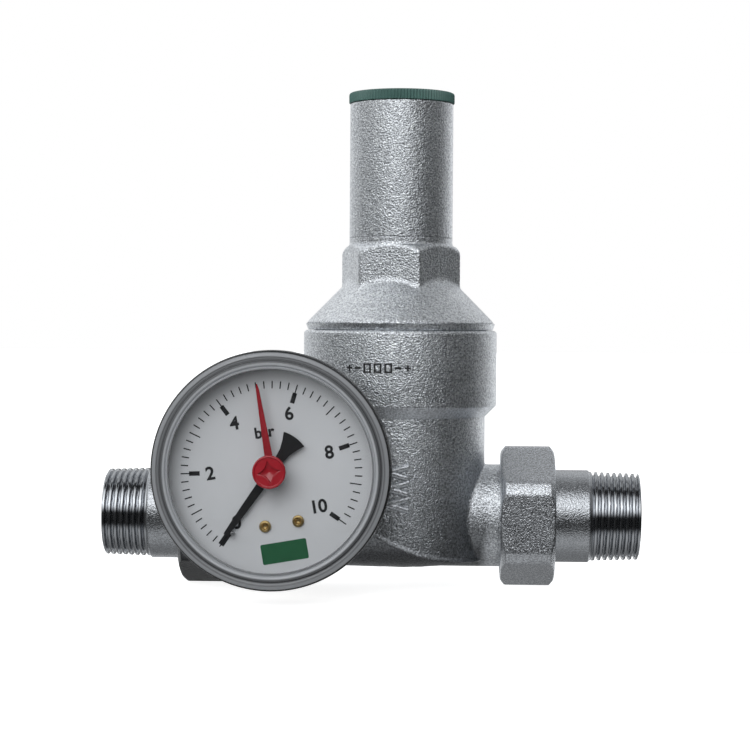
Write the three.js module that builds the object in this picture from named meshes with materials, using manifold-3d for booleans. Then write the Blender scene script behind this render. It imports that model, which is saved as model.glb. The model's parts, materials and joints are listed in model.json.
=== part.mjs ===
// Diaphragm pressure reducing valve, DN20, with union tails and a back-entry pressure gauge.
// Millimetres, +Z up. Pipe axis is X with the inlet at +X, adjuster axis is Z, the gauge faces -Y.
// The origin is where the pipe axis and the adjuster axis cross.
import * as THREE from 'three';
import { mergeVertices, toCreasedNormals } from 'three/addons/utils/BufferGeometryUtils.js';
import Module from 'manifold-3d';

const wasm = await Module();
wasm.setup();

const DEG = Math.PI / 180;
const CLEARANCE = 0.3; // left between neighbouring pieces
const OVERCUT = 5; // how far a cutting tool runs past the face it opens
const MERGE_DISTANCE = 1e-4;
const CREASE_DEGREES = 28;
const FACETS = { large: 32, medium: 20, small: 12, tiny: 6 };

const BODY = {
  collarRadius: 28.75, collarTop: 55, collarBottom: 32.9,
  barrelRadius: 25.4, barrelTop: 29.6, barrelLow: -16, edge: 0.6,
  underArc: { x: 25, z: 49.9, radius: 62.3 },
  bellyOutline: [[14, 13.6], [11.5, 14.9], [7, 15.6], [1.5, 15.8], [-9, 15.5], [-15, 15.3], [-48.6, 15.2]],
  neckRadius: 14.1, reliefRadius: 15.2, threadRadius: 16.6, threadChamfer: 0.8,
  reliefLength: 1.6, ductRadius: 10, ductToWall: 20.5,
  portBossRadius: 9.5, portBossFace: 23, portHoleRadius: 6.7, portHoleStart: 8,
};
// Bore of the casting from the outlet sump up to the bell thread, as radius and height.
const CASTING_BORE = [
  [0, -12.5], [6, -12.5], [11, -6], [11, -3.3], [12.7, -3.3], [12.7, 7], [17.5, 7], [17.5, 28],
  [19.8, 28], [19.8, 34], [21.5, 34], [21.5, 42], [25.8, 42], [25.8, 60], [0, 60],
];
const INLET_RAMP = { from: [25, 4], to: [11, 19], radius: 7 };
const OUTLET_RAMP = { from: [-21, -3], to: [-3, -7.5], radius: 5 };
const SENSING_HOLE = { x: -21.8, radius: 1.2, bottom: 8, top: 39 };
const FLOW_CHEVRONS = {
  tip: -3.3, notch: -0.9, end: 3.7, halfHeight: 1.95, arm: 1.4, heights: [5, 9.6, 14.2], relief: 0.9,
};

const UNIONS = {
  inlet: { side: 1, nutStart: 30.1, nutEnd: 46.1, spigotEnd: 39, shankEnd: 56.3, endFace: 71.2 },
  outlet: { side: -1, nutStart: 48.6, nutEnd: 64.6, spigotEnd: 57.5, shankEnd: 74, endFace: 87.7 },
};
const NUT = {
  acrossFlats: 37.7, turnedRadius: 21, chamferRadius: 19, chamferLength: 1.4,
  threadRadius: 16.9, holeRadius: 14, shoulder: 2.3, cornerAngle: 27.5,
};
const TAIL = {
  boreRadius: 9.5, flangeRadius: 16.3, flangeLength: 2.1, shankRadius: 13.7, shankEdge: 0.5,
  threadRadius: 13.22, threadDepth: 1.1, pitch: 1.814, taper: 1 / 32, endRadius: 12, endChamfer: 1.3,
};
const GASKET = { outerRadius: 16.2, innerRadius: 10.4, thickness: 1.7 };

const BELL = {
  flangeRadius: 28.2, flangeBottom: 55.35, flangeTop: 57, coneFootRadius: 27, coneFoot: 58.2,
  towerRadius: 15.35, coneTop: 70, top: 122.1, edge: 0.4,
  skirtRadius: 25.5, skirtBottom: 44.6, skirtInnerRadius: 22, innerConeFoot: 56, innerConeTop: 66,
  springRadius: 13.2, deckBottom: 106.9, deckTop: 110, screwHoleRadius: 5.3, pocketRadius: 11,
  hexAcrossFlats: 31.4, hexTop: 80, hexBottom: 60, hexShoulder: 1.2, hexShoulderRadius: 16.1, hexCorner: 19.2,
  keyWidth: 4, keyRadius: 14.2, keyBottom: 66, keyTop: 104,
};
const CAP = {
  radius: 15.7, ribDepth: 0.3, ribs: 48, bottom: 122.4, top: 125.4, edge: 0.5,
  plugRadius: 10.6, plugInnerRadius: 9.2, plugBottom: 115.5, crown: 1.6,
};
const SCREW = {
  radius: 5, bottom: 78, top: 114, collarRadius: 7.6, collarBottom: 102, collarTop: 105.3,
  slotWidth: 1.8, slotDepth: 2.2, edge: 0.6,
};
const THRUST_WASHER = { outerRadius: 8.4, innerRadius: 5.4, bottom: 105.6, top: 106.6 };
const SPRING_NUT = {
  radius: 12.7, holeRadius: 5.3, bottom: 88, top: 94, bossRadius: 8.2, bossBottom: 85.6,
  keyWidth: 3.4, keyRadius: 13.8,
};
const RANGE_SPRING = { radius: 10.5, wire: 1.75, bottom: 48.7, top: 85.9, turns: 5.5, steps: 12, sides: 6 };
const RETURN_SPRING = { radius: 5.4, wire: 0.5, bottom: -11.7, top: -2.3, turns: 4, steps: 10, sides: 5 };

const STEM = { radius: 2.5, bottom: -3, top: 54, headRadius: 4, headTop: -1.8 };
const STEM_HOLE = 2.8;
const STEM_NUT = { acrossFlats: 8, bottom: 48.9, top: 53 };
const OBTURATOR = { radius: 8.4, bottom: -1.5, web: 2, rim: 3.2, pocketRadius: 8 };
const OBTURATOR_DISC = { radius: 7.7, bottom: 2.3, top: 3.9 };
const BALANCE_PISTON = {
  sleeveRadius: 4.4, bottom: 4.2, top: 39.2, radius: 7, pistonBottom: 22, pistonTop: 30,
  grooveRadius: 5.8, grooveBottom: 25.3, grooveTop: 26.7,
};
const LOWER_PLATE = { radius: 17.5, bottom: 39.5, top: 42 };
const UPPER_PLATE = { radius: 17.5, bottom: 44.6, top: 46.6, bossRadius: 8.2, bossTop: 48.6 };
const DIAPHRAGM = { radius: 25.2, bottom: 42.3, top: 44.3 };
// Cartridge section from the piston bore round the seat lip and back over the flange.
const CARTRIDGE = [
  [7.3, 39.2], [7.3, 18], [10.2, 16.5], [10.2, 10.5], [6.5, 9], [6.5, 7], [7.3, 7], [8, 7.8], [10, 7.8],
  [10, -3], [12.4, -3], [12.4, 3], [11.3, 3], [11.3, 5], [12.4, 5], [12.4, 26], [14, 28.3], [19.5, 28.3],
  [19.5, 30], [18.2, 30], [18.2, 32], [19.5, 32], [19.5, 33.5], [10.5, 33.5], [10.5, 39.2],
];
const CARTRIDGE_WINDOW = { width: 8, bottom: 11, top: 16, reach: 30 };
const FILTER = {
  outerRadius: 15.8, innerRadius: 15.2, bottom: 7.5, top: 26, windows: 6, width: 5, margin: 3,
};
const ORINGS = {
  sides: 5,
  nose: { radius: 11.9, wire: 0.5, z: 4 },
  flange: { radius: 18.9, wire: 0.5, z: 31 },
  piston: { radius: 6.4, wire: 0.45, z: 26 },
};

// Gauge sizes: u to the right, v up and w towards the viewer, about the centre of the dial.
const GAUGE = { portX: -30.4, portOffset: 16.8, tilt: 9.8 };
const CASE = { radius: 31.5, back: 34.3, floor: 1.6, front: 56, wall: 1.2, edge: 1.4, stemHoleRadius: 6.4 };
// Window section as radius and depth, from the skirt over the rim rings to the knob hole and back.
const WINDOW = [
  [31.8, 51.5], [32.9, 51.5], [32.9, 57.6], [31.6, 59.4], [29.2, 59.6], [28.3, 59], [27.4, 59.8],
  [3.5, 60.2], [3.5, 58.6], [27.6, 58], [31.8, 56.6],
];
const DIAL = { radius: 29.8, back: 50.5, front: 51, hubHole: 2 };
const DIAL_SCREW = {
  reach: 15.8, angles: [253, 287], headRadius: 1.65, headBack: 51.3, headFront: 52.1,
  shankRadius: 0.8, shankBack: 48.2, hole: 1.1, slot: 0.4, slotDepth: 0.4,
};
const STOP_PIN = { reach: 20.6, angle: 228.5, radius: 0.5, back: 51.3, front: 54 };
const POINTER = {
  angle: 225, tip: 22.5, tipHalf: 0.25, rootHalf: 1.2, root: 3, tail: 11, tailSpread: 18.5, hubRadius: 3.4,
  back: 53, front: 53.5, hubBack: 52.3, hubFront: 54.4, hole: 1.2,
};
const MARKER = {
  angle: 90, tip: 24, tipHalf: 0.5, rootHalf: 1, hubRadius: 4, back: 55.9, front: 56.4, hole: 2.3,
  spigotRadius: 2, spigotBack: 55.5, shaftRadius: 3.1, shaftBack: 56.7, headRadius: 4.55,
  headBack: 60.5, headFront: 62.6,
  slotWidth: 1.5, slotDepth: 1.3, slotLength: 6.4, edge: 0.5,
};
const GAUGE_STEM = {
  threadRadius: 6.4, threadBack: 13, washerFace: 23.3, hexAcrossFlats: 14, hexBack: 25, hexFront: 32.5,
  blockRadius: 6, blockFront: 42.6, boreRadius: 1.6, boreFront: 38,
};
const SEAL_WASHER = { outerRadius: 8.6, innerRadius: 6.8, back: 23.3, front: 24.7 };
const BOURDON = {
  radius: 22.5, startAngle: 255.5, sweep: 240, width: 5.4, thickness: 2.4, depth: 39, steps: 24,
};
const MOVEMENT = {
  backPlate: [43, 44], frontPlate: [48, 49.3], postRadius: 1.2, posts: [[-6, 3], [-5, -12], [18.6, -12.6]],
  outline: [[-8.5, 5.5], [-8.5, -14], [-6, -17.6], [8, -17.6], [21.5, -15.5], [21.5, -3], [2, 5.5]],
  pivotHole: 1.3,
};
const GEARS = {
  module: 0.4, pinionTeeth: 10, sectorTeeth: 80, addendum: 0.3, dedendum: 0.5,
  rootShare: 0.29, tipShare: 0.1, pivotAngle: -20, firstTooth: -1, lastTooth: 9,
};
const SECTOR = {
  back: 45.6, front: 46.4, hubRadius: 2.2, arborRadius: 0.9,
  tailLength: 6, tailHalf: 1, eyeRadius: 1.5, pinRadius: 0.6,
};
const ARBOR = { radius: 0.9, back: 43.2, front: 54.1, pinionBack: 45.1, pinionFront: 46.9 };
const LINK = { back: 44.5, front: 45.2, half: 0.8, eyeRadius: 1.5, hole: 0.95, tipAngle: 15.5 };
const HAIRSPRING = {
  innerRadius: 2.7, outerRadius: 4.9, turns: 2.5, steps: 10, width: 0.5, thickness: 0.22, depth: 47.45,
};

const FINISH = {
  casting: { color: 0x9c9c9a, roughness: 0.34, metalness: 1 },
  turned: { color: 0xb4b4b2, roughness: 0.2, metalness: 1 },
  green: { color: 0x3e645a, roughness: 0.55, metalness: 0 },
  brass: { color: 0xb79a56, roughness: 0.35, metalness: 1 },
  steel: { color: 0x8d9093, roughness: 0.3, metalness: 1 },
  rubber: { color: 0x1c1c1c, roughness: 0.8, metalness: 0 },
  acetal: { color: 0xd8d6cc, roughness: 0.5, metalness: 0 },
  fibre: { color: 0x7a3b28, roughness: 0.8, metalness: 0 },
  blackPlastic: { color: 0x151515, roughness: 0.4, metalness: 0 },
  dialWhite: { color: 0xe9ebe9, roughness: 0.6, metalness: 0 },
  red: { color: 0xc3202a, roughness: 0.35, metalness: 0 },
  clear: { color: 0xdfe6e6, roughness: 0.05, metalness: 0 },
};

// ---- building blocks -------------------------------------------------------------------------

const circlePoint = (radius, degrees) => [radius * Math.cos(degrees * DEG), radius * Math.sin(degrees * DEG)];

function signedArea(outline) {
  return outline.reduce((sum, [a, b], i) => {
    const [c, d] = outline[(i + 1) % outline.length];
    return sum + (a * d - c * b) / 2;
  }, 0);
}

// Turns an outline of [radius, height] about Z. A ring's outline closes on itself;
// a solid's outline starts and ends on the axis.
function turned(outline, facets = FACETS.large) {
  const ordered = signedArea(outline) > 0 ? [...outline] : [...outline].reverse();
  const points = ordered.map(([radius, height]) => new THREE.Vector2(radius, height));
  if (points[0].x > 0) points.push(points[0].clone());
  return new THREE.LatheGeometry(points, facets).rotateX(Math.PI / 2);
}

const disc = (radius, low, high, facets) => turned(
  [[0, low], [radius, low], [radius, high], [0, high]], facets,
);

const ring = (inner, outer, low, high, facets) =>
  turned([[inner, low], [outer, low], [outer, high], [inner, high]], facets);

const hexagon = (acrossFlats, low, high) => disc(acrossFlats / Math.sqrt(3), low, high, 6);

const alongX = (geometry) => geometry.rotateY(Math.PI / 2);

function flat(points, low, high) {
  const shape = new THREE.Shape(points.map(([x, y]) => new THREE.Vector2(x, y)));
  return new THREE.ExtrudeGeometry(shape, { depth: high - low, bevelEnabled: false }).translate(0, 0, low);
}

function block(width, depth, low, high) {
  return new THREE.BoxGeometry(width, depth, high - low).translate(0, 0, (low + high) / 2);
}

// A cylinder between two points of the XZ plane.
function ramp({ from, to, radius }) {
  const [dx, dz] = [to[0] - from[0], to[1] - from[1]];
  const geometry = disc(radius, 0, Math.hypot(dx, dz), FACETS.medium);
  geometry.rotateY(Math.atan2(dx, dz));
  return geometry.translate(from[0], 0, from[1]);
}

function solid(geometry) {
  const bare = geometry.clone();
  bare.deleteAttribute('normal');
  bare.deleteAttribute('uv');
  const merged = mergeVertices(bare, MERGE_DISTANCE);
  const corners = merged.index.array;
  const kept = [];
  for (let i = 0; i < corners.length; i += 3) {
    const [a, b, c] = corners.slice(i, i + 3);
    if (a !== b && b !== c && c !== a) kept.push(a, b, c);
  }
  const vertProperties = new Float32Array(merged.attributes.position.array);
  return new wasm.Manifold(new wasm.Mesh({ numProp: 3, vertProperties, triVerts: new Uint32Array(kept) }));
}

const joined = (first, ...others) => others.reduce((whole, next) => whole.add(next), first);
const carved = (first, ...tools) => tools.reduce((whole, tool) => whole.subtract(tool), first);

function surface(manifold) {
  const mesh = manifold.getMesh();
  const geometry = new THREE.BufferGeometry();
  geometry.setAttribute(
    'position', new THREE.BufferAttribute(new Float32Array(mesh.vertProperties), mesh.numProp),
  );
  geometry.setIndex(new THREE.BufferAttribute(new Uint32Array(mesh.triVerts), 1));
  return toCreasedNormals(geometry, CREASE_DEGREES * DEG);
}

function piece(name, shape, finish) {
  const manifold = shape.isBufferGeometry ? solid(shape) : shape;
  const mesh = new THREE.Mesh(surface(manifold), new THREE.MeshStandardMaterial(FINISH[finish]));
  mesh.name = name;
  return mesh;
}

class Helix extends THREE.Curve {
  constructor({ radius, endRadius = radius, bottom, top, turns }) {
    super();
    Object.assign(this, { radius, endRadius, bottom, top, turns });
  }

  getPoint(t, target = new THREE.Vector3()) {
    const [x, y] = circlePoint(this.radius + (this.endRadius - this.radius) * t, this.turns * 360 * t);
    return target.set(x, y, this.bottom + (this.top - this.bottom) * t);
  }
}

class Arc extends THREE.Curve {
  constructor(radius, start, sweep, height) {
    super();
    Object.assign(this, { radius, start, sweep, height });
  }

  getPoint(t, target = new THREE.Vector3()) {
    const [x, y] = circlePoint(this.radius, this.start + this.sweep * t);
    return target.set(x, y, this.height);
  }
}

function swept(section, extrudePath, steps) {
  const shape = new THREE.Shape(section.map(([x, y]) => new THREE.Vector2(x, y)));
  return new THREE.ExtrudeGeometry(shape, { steps, bevelEnabled: false, extrudePath });
}

const roundSection = (radius, sides) =>
  Array.from({ length: sides }, (_, i) => circlePoint(radius, (360 * i) / sides));

const stripSection = (width, thickness) => [
  [-width / 2, -thickness / 2], [width / 2, -thickness / 2], [width / 2, thickness / 2],
  [-width / 2, thickness / 2],
];

function coilSpring(name, spring) {
  const path = new Helix(spring);
  return piece(
    name, swept(roundSection(spring.wire, spring.sides), path, spring.steps * spring.turns), 'steel',
  );
}

function oring(name, { radius, wire, z }) {
  const section = roundSection(wire, ORINGS.sides).map(([a, b]) => [radius + a, z + b]);
  return piece(name, turned(section, FACETS.medium), 'rubber');
}

// ---- casting ---------------------------------------------------------------------------------

function barrel() {
  const { collarRadius, collarTop, collarBottom, barrelRadius, barrelTop, barrelLow, edge } = BODY;
  const outside = turned([
    [0, barrelLow], [barrelRadius, barrelLow], [barrelRadius, barrelTop], [collarRadius, collarBottom],
    [collarRadius, collarTop - edge], [collarRadius - edge, collarTop], [0, collarTop],
  ]);
  const { x, z, radius } = BODY.underArc;
  const underside = disc(radius, -collarRadius - OVERCUT, collarRadius + OVERCUT, FACETS.large * 2);
  underside.rotateX(Math.PI / 2).translate(x, 0, z);
  return solid(outside).intersect(solid(underside));
}

function belly() {
  const outline = BODY.bellyOutline.map(([x, radius]) => [radius, x]);
  const ends = [[0, BODY.bellyOutline[0][0]], [0, BODY.bellyOutline.at(-1)[0]]];
  return solid(alongX(turned([ends[0], ...outline, ends[1]], FACETS.medium)));
}

function spigot({ side, nutStart, spigotEnd }) {
  const { reliefRadius, reliefLength, threadRadius, threadChamfer, neckRadius } = BODY;
  const stations = [
    [0, 0], [neckRadius, 0], [neckRadius, nutStart - reliefLength], [reliefRadius, nutStart - reliefLength],
    [reliefRadius, nutStart + reliefLength], [threadRadius, nutStart + reliefLength],
    [threadRadius, spigotEnd - threadChamfer], [threadRadius - threadChamfer, spigotEnd], [0, spigotEnd],
  ];
  return solid(alongX(turned(stations.map(([radius, x]) => [radius, side * x]), FACETS.medium)));
}

function duct({ side, spigotEnd }) {
  const [near, far] = [BODY.ductToWall, spigotEnd + OVERCUT].map((x) => side * x);
  return solid(alongX(disc(BODY.ductRadius, Math.min(near, far), Math.max(near, far), FACETS.medium)));
}

function portCylinder(radius, from, to) {
  return solid(disc(radius, from, to, FACETS.medium).rotateX(Math.PI / 2).translate(GAUGE.portX, 0, 0));
}

function flowChevrons() {
  const { tip, notch, end, halfHeight, arm, heights, relief } = FLOW_CHEVRONS;
  const outline = [
    [tip, 0], [end, -halfHeight], [end, arm - halfHeight], [notch, 0], [end, halfHeight - arm],
    [end, halfHeight],
  ];
  const prisms = heights.map((z) =>
    solid(flat(outline, 0, BODY.collarRadius).rotateX(Math.PI / 2).translate(0, 0, z)));
  const skin = disc(BODY.barrelRadius + relief, heights[0] - BODY.barrelRadius, BODY.barrelTop);
  return joined(...prisms).intersect(solid(skin));
}

function castBody() {
  const { portBossRadius, portBossFace, portHoleRadius, portHoleStart } = BODY;
  const outside = joined(
    barrel(), belly(), spigot(UNIONS.inlet), spigot(UNIONS.outlet), flowChevrons(),
    portCylinder(portBossRadius, 0, portBossFace),
  );
  const { x, radius, bottom, top } = SENSING_HOLE;
  const whole = carved(
    outside, solid(turned(CASTING_BORE)), duct(UNIONS.inlet), duct(UNIONS.outlet),
    solid(ramp(INLET_RAMP)), solid(ramp(OUTLET_RAMP)),
    portCylinder(portHoleRadius, portHoleStart, portBossFace + OVERCUT),
    solid(disc(radius, bottom, top, FACETS.tiny).translate(x, 0, 0)),
  );
  return piece('body_casting', whole, 'casting');
}

// ---- unions ----------------------------------------------------------------------------------

function unionNut(name, { side, nutStart, nutEnd }) {
  const { acrossFlats, turnedRadius, chamferRadius, chamferLength, threadRadius, holeRadius, shoulder } = NUT;
  const blank = turned([
    [0, nutStart], [chamferRadius, nutStart], [turnedRadius, nutStart + chamferLength],
    [turnedRadius, nutEnd - chamferLength], [chamferRadius, nutEnd], [0, nutEnd],
  ]);
  const bore = turned([
    [0, nutStart - OVERCUT], [threadRadius, nutStart - OVERCUT], [threadRadius, nutEnd - shoulder],
    [holeRadius, nutEnd - shoulder], [holeRadius, nutEnd + OVERCUT], [0, nutEnd + OVERCUT],
  ]);
  const prism = hexagon(acrossFlats, nutStart, nutEnd);
  const facing = (geometry) => alongX(geometry).rotateX(-NUT.cornerAngle * DEG);
  const nut = carved(solid(facing(blank)).intersect(solid(facing(prism))), solid(facing(bore)));
  const placed = side > 0 ? nut : nut.rotate([0, 180, 0]).rotate([2 * NUT.cornerAngle, 0, 0]);
  return piece(name, placed, 'turned');
}

function threadStations({ shankEnd, endFace }) {
  const { threadRadius, threadDepth, pitch, taper, endChamfer } = TAIL;
  const stations = [];
  for (let x = shankEnd + pitch / 2; x < endFace - endChamfer; x += pitch) {
    const crest = threadRadius - taper * (x - shankEnd);
    stations.push([crest - threadDepth, x - pitch / 2], [crest, x]);
  }
  return stations;
}

function tailpiece(name, union) {
  const { side, nutEnd, shankEnd, endFace } = union;
  const { boreRadius, flangeRadius, flangeLength, shankRadius, shankEdge, endRadius } = TAIL;
  const flangeEnd = nutEnd - NUT.shoulder - CLEARANCE;
  const stations = [
    [boreRadius, flangeEnd - flangeLength], [flangeRadius, flangeEnd - flangeLength],
    [flangeRadius, flangeEnd],
    [shankRadius, flangeEnd], [shankRadius, shankEnd - shankEdge], [shankRadius - shankEdge, shankEnd],
    ...threadStations(union), [endRadius, endFace], [boreRadius, endFace],
  ];
  return piece(
    name, alongX(turned(stations.map(([radius, x]) => [radius, side * x]), FACETS.medium)), 'turned',
  );
}

function unionGasket(name, { side, spigotEnd }) {
  const { outerRadius, innerRadius, thickness } = GASKET;
  const [near, far] = [spigotEnd + CLEARANCE, spigotEnd + CLEARANCE + thickness].map((x) => side * x);
  return piece(name, alongX(ring(innerRadius, outerRadius, near, far, FACETS.medium)), 'fibre');
}

function unionPieces() {
  return Object.entries(UNIONS).flatMap(([end, union]) => [
    unionNut(`${end}_union_nut`, union),
    tailpiece(`${end}_tailpiece`, union),
    unionGasket(`${end}_gasket`, union),
  ]);
}

// ---- spring housing and adjuster -------------------------------------------------------------

function bellShell() {
  const outside = [
    [BELL.skirtRadius, BELL.skirtBottom], [BELL.skirtRadius, BELL.flangeBottom],
    [BELL.flangeRadius, BELL.flangeBottom], [BELL.flangeRadius, BELL.flangeTop],
    [BELL.coneFootRadius, BELL.coneFoot],
    [BELL.towerRadius, BELL.coneTop], [BELL.towerRadius, BELL.top - BELL.edge],
    [BELL.towerRadius - BELL.edge, BELL.top],
  ];
  return solid(turned([[0, BELL.skirtBottom], ...outside, [0, BELL.top]]));
}

function bellBore() {
  return solid(turned([
    [0, BELL.skirtBottom - OVERCUT], [BELL.skirtInnerRadius, BELL.skirtBottom - OVERCUT],
    [BELL.skirtInnerRadius, BELL.innerConeFoot], [BELL.springRadius, BELL.innerConeTop],
    [BELL.springRadius, BELL.deckBottom], [BELL.screwHoleRadius, BELL.deckBottom],
    [BELL.screwHoleRadius, BELL.deckTop], [BELL.pocketRadius, BELL.deckTop],
    [BELL.pocketRadius, BELL.top + OVERCUT], [0, BELL.top + OVERCUT],
  ], FACETS.medium));
}

function bellHex() {
  const cornerRadius = BELL.hexAcrossFlats / Math.sqrt(3);
  const blank = turned([
    [0, BELL.hexBottom], [cornerRadius, BELL.hexBottom], [cornerRadius, BELL.hexTop - BELL.hexShoulder],
    [BELL.hexShoulderRadius, BELL.hexTop], [0, BELL.hexTop],
  ]);
  const prism = hexagon(BELL.hexAcrossFlats, BELL.hexBottom, BELL.hexTop).rotateZ(BELL.hexCorner * DEG);
  return solid(blank).intersect(solid(prism));
}

function bellHousing() {
  const keyway = solid(block(2 * BELL.keyRadius, BELL.keyWidth, BELL.keyBottom, BELL.keyTop));
  const shell = carved(joined(bellShell(), bellHex()), bellBore(), keyway);
  return piece('bell_housing', shell, 'casting');
}

function adjusterCap() {
  const { radius, ribDepth, ribs, bottom, top, edge, plugRadius, plugInnerRadius, plugBottom, crown } = CAP;
  const rim = Array.from({ length: 2 * ribs }, (_, i) =>
    circlePoint(i % 2 ? radius - ribDepth : radius, (180 * i) / ribs));
  const blank = turned([[0, bottom], [radius, bottom], [radius, top - edge], [radius - edge, top], [0, top]]);
  const knurled = solid(flat(rim, bottom, top)).intersect(solid(blank));
  const plug = solid(disc(plugRadius, plugBottom, bottom + crown / 2));
  const hollow = solid(disc(plugInnerRadius, plugBottom - OVERCUT, top - crown));
  return piece('adjuster_cap', carved(joined(knurled, plug), hollow), 'green');
}

function adjustingScrew() {
  const { radius, bottom, top, collarRadius, collarBottom, collarTop, slotWidth, slotDepth, edge } = SCREW;
  const shaft = solid(turned([
    [0, bottom], [radius - edge, bottom], [radius, bottom + edge], [radius, collarBottom],
    [collarRadius, collarBottom], [collarRadius, collarTop], [radius, collarTop],
    [radius, top - edge], [radius - edge, top], [0, top],
  ], FACETS.small));
  const slot = solid(block(2 * collarRadius, slotWidth, top - slotDepth, top + OVERCUT));
  return piece('adjusting_screw', carved(shaft, slot), 'brass');
}

function thrustWasher() {
  const { outerRadius, innerRadius, bottom, top } = THRUST_WASHER;
  return piece('thrust_washer', ring(innerRadius, outerRadius, bottom, top, FACETS.small), 'acetal');
}

function springNut() {
  const { radius, holeRadius, bottom, top, bossRadius, bossBottom, keyWidth, keyRadius } = SPRING_NUT;
  const nut = joined(
    solid(disc(radius, bottom, top, FACETS.medium)),
    solid(disc(bossRadius, bossBottom, bottom + OVERCUT, FACETS.small)),
    solid(block(2 * keyRadius, keyWidth, bottom, top)),
  );
  const hole = solid(disc(holeRadius, bossBottom - OVERCUT, top + OVERCUT, FACETS.small));
  return piece('spring_nut', carved(nut, hole), 'brass');
}

// ---- regulating group ------------------------------------------------------------------------

function valveStem() {
  const { radius, bottom, top, headRadius, headTop } = STEM;
  return piece('valve_stem', turned([
    [0, bottom], [headRadius, bottom], [headRadius, headTop], [radius, headTop], [radius, top], [0, top],
  ], FACETS.small), 'steel');
}

function stemNut() {
  const { acrossFlats, bottom, top } = STEM_NUT;
  const hole = solid(disc(STEM_HOLE, bottom - OVERCUT, top + OVERCUT, FACETS.small));
  return piece('stem_nut', carved(solid(hexagon(acrossFlats, bottom, top)), hole), 'steel');
}

function obturator() {
  const { radius, bottom, web, rim, pocketRadius } = OBTURATOR;
  return piece('obturator', turned([
    [STEM_HOLE, bottom], [radius, bottom], [radius, rim], [pocketRadius, rim], [pocketRadius, web],
    [STEM_HOLE, web],
  ], FACETS.medium), 'brass');
}

function balancePiston() {
  const p = BALANCE_PISTON;
  return piece('balance_piston', turned([
    [STEM_HOLE, p.bottom], [p.sleeveRadius, p.bottom], [p.sleeveRadius, p.pistonBottom],
    [p.radius, p.pistonBottom],
    [p.radius, p.grooveBottom], [p.grooveRadius, p.grooveBottom], [p.grooveRadius, p.grooveTop],
    [p.radius, p.grooveTop], [p.radius, p.pistonTop], [p.sleeveRadius, p.pistonTop], [p.sleeveRadius, p.top],
    [STEM_HOLE, p.top],
  ], FACETS.small), 'brass');
}

function diaphragmPlates() {
  const { radius, bottom, top, bossRadius, bossTop } = UPPER_PLATE;
  const upper = turned([
    [STEM_HOLE, bottom], [radius, bottom], [radius, top], [bossRadius, top], [bossRadius, bossTop],
    [STEM_HOLE, bossTop],
  ], FACETS.medium);
  const lower = ring(STEM_HOLE, LOWER_PLATE.radius, LOWER_PLATE.bottom, LOWER_PLATE.top, FACETS.medium);
  return [piece('upper_diaphragm_plate', upper, 'brass'), piece('lower_diaphragm_plate', lower, 'brass')];
}

function sealingDiscs() {
  const washer = ({ radius, bottom, top }) => ring(STEM_HOLE, radius, bottom, top, FACETS.medium);
  return [
    piece('diaphragm', washer(DIAPHRAGM), 'rubber'),
    piece('obturator_disc', washer(OBTURATOR_DISC), 'rubber'),
  ];
}

function cartridge() {
  const { width, bottom, top, reach } = CARTRIDGE_WINDOW;
  const across = [[reach, width], [width, reach]].map(([x, y]) => solid(block(x, y, bottom, top)));
  return piece('seat_cartridge', carved(solid(turned(CARTRIDGE, FACETS.medium)), ...across), 'acetal');
}

function filterScreen() {
  const { outerRadius, innerRadius, bottom, top, windows, width, margin } = FILTER;
  const slots = Array.from({ length: windows }, (_, i) => {
    const slot = block(3 * outerRadius, width, bottom + margin, top - margin);
    return solid(slot.rotateZ((Math.PI * i) / windows));
  });
  const sleeve = solid(ring(innerRadius, outerRadius, bottom, top, FACETS.medium));
  return piece('filter_screen', carved(sleeve, ...slots), 'steel');
}

function regulatingPieces() {
  return [
    cartridge(), filterScreen(), valveStem(), stemNut(), obturator(), balancePiston(),
    ...diaphragmPlates(), ...sealingDiscs(),
    oring('nose_oring', ORINGS.nose), oring('flange_oring', ORINGS.flange),
    oring('piston_oring', ORINGS.piston),
    coilSpring('range_spring', RANGE_SPRING), coilSpring('return_spring', RETURN_SPRING),
  ];
}

// ---- gauge -----------------------------------------------------------------------------------

// Sets a piece drawn about the dial axis into place: w runs to -Y and the dial is tilted.
function onGauge(geometry, [u, v] = [0, 0]) {
  const [centreX, centreZ] = [
    GAUGE.portX - GAUGE.portOffset * Math.sin(GAUGE.tilt * DEG),
    GAUGE.portOffset * Math.cos(GAUGE.tilt * DEG),
  ];
  geometry.translate(u, v, 0).rotateZ(GAUGE.tilt * DEG).rotateX(Math.PI / 2);
  return geometry.translate(centreX, 0, centreZ);
}

const gaugeSolid = (geometry, centre) => solid(onGauge(geometry, centre));
const STEM_CENTRE = [0, -GAUGE.portOffset];
const SECTOR_PIVOT = circlePoint(
  (GEARS.module * (GEARS.pinionTeeth + GEARS.sectorTeeth)) / 2, GEARS.pivotAngle,
);
const TAIL_PIN = [SECTOR_PIVOT[0] + SECTOR.tailLength, SECTOR_PIVOT[1]];

function gaugeCase() {
  const { radius, back, floor, front, wall, edge, stemHoleRadius } = CASE;
  const cup = gaugeSolid(turned([
    [0, back], [radius - edge, back], [radius, back + edge], [radius, front], [radius - wall, front],
    [radius - wall, back + floor], [0, back + floor],
  ]));
  const hole = gaugeSolid(disc(stemHoleRadius, back - OVERCUT, back + floor + 1, FACETS.small), STEM_CENTRE);
  return piece('gauge_case', carved(cup, hole), 'blackPlastic');
}

function gaugeDial() {
  const { radius, back, front, hubHole } = DIAL;
  const sheet = gaugeSolid(ring(hubHole, radius, back, front));
  const holes = DIAL_SCREW.angles.map((angle) => gaugeSolid(
    disc(DIAL_SCREW.hole, back - 1, front + 1, FACETS.tiny), circlePoint(DIAL_SCREW.reach, angle),
  ));
  return piece('gauge_dial', carved(sheet, ...holes), 'dialWhite');
}

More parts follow.
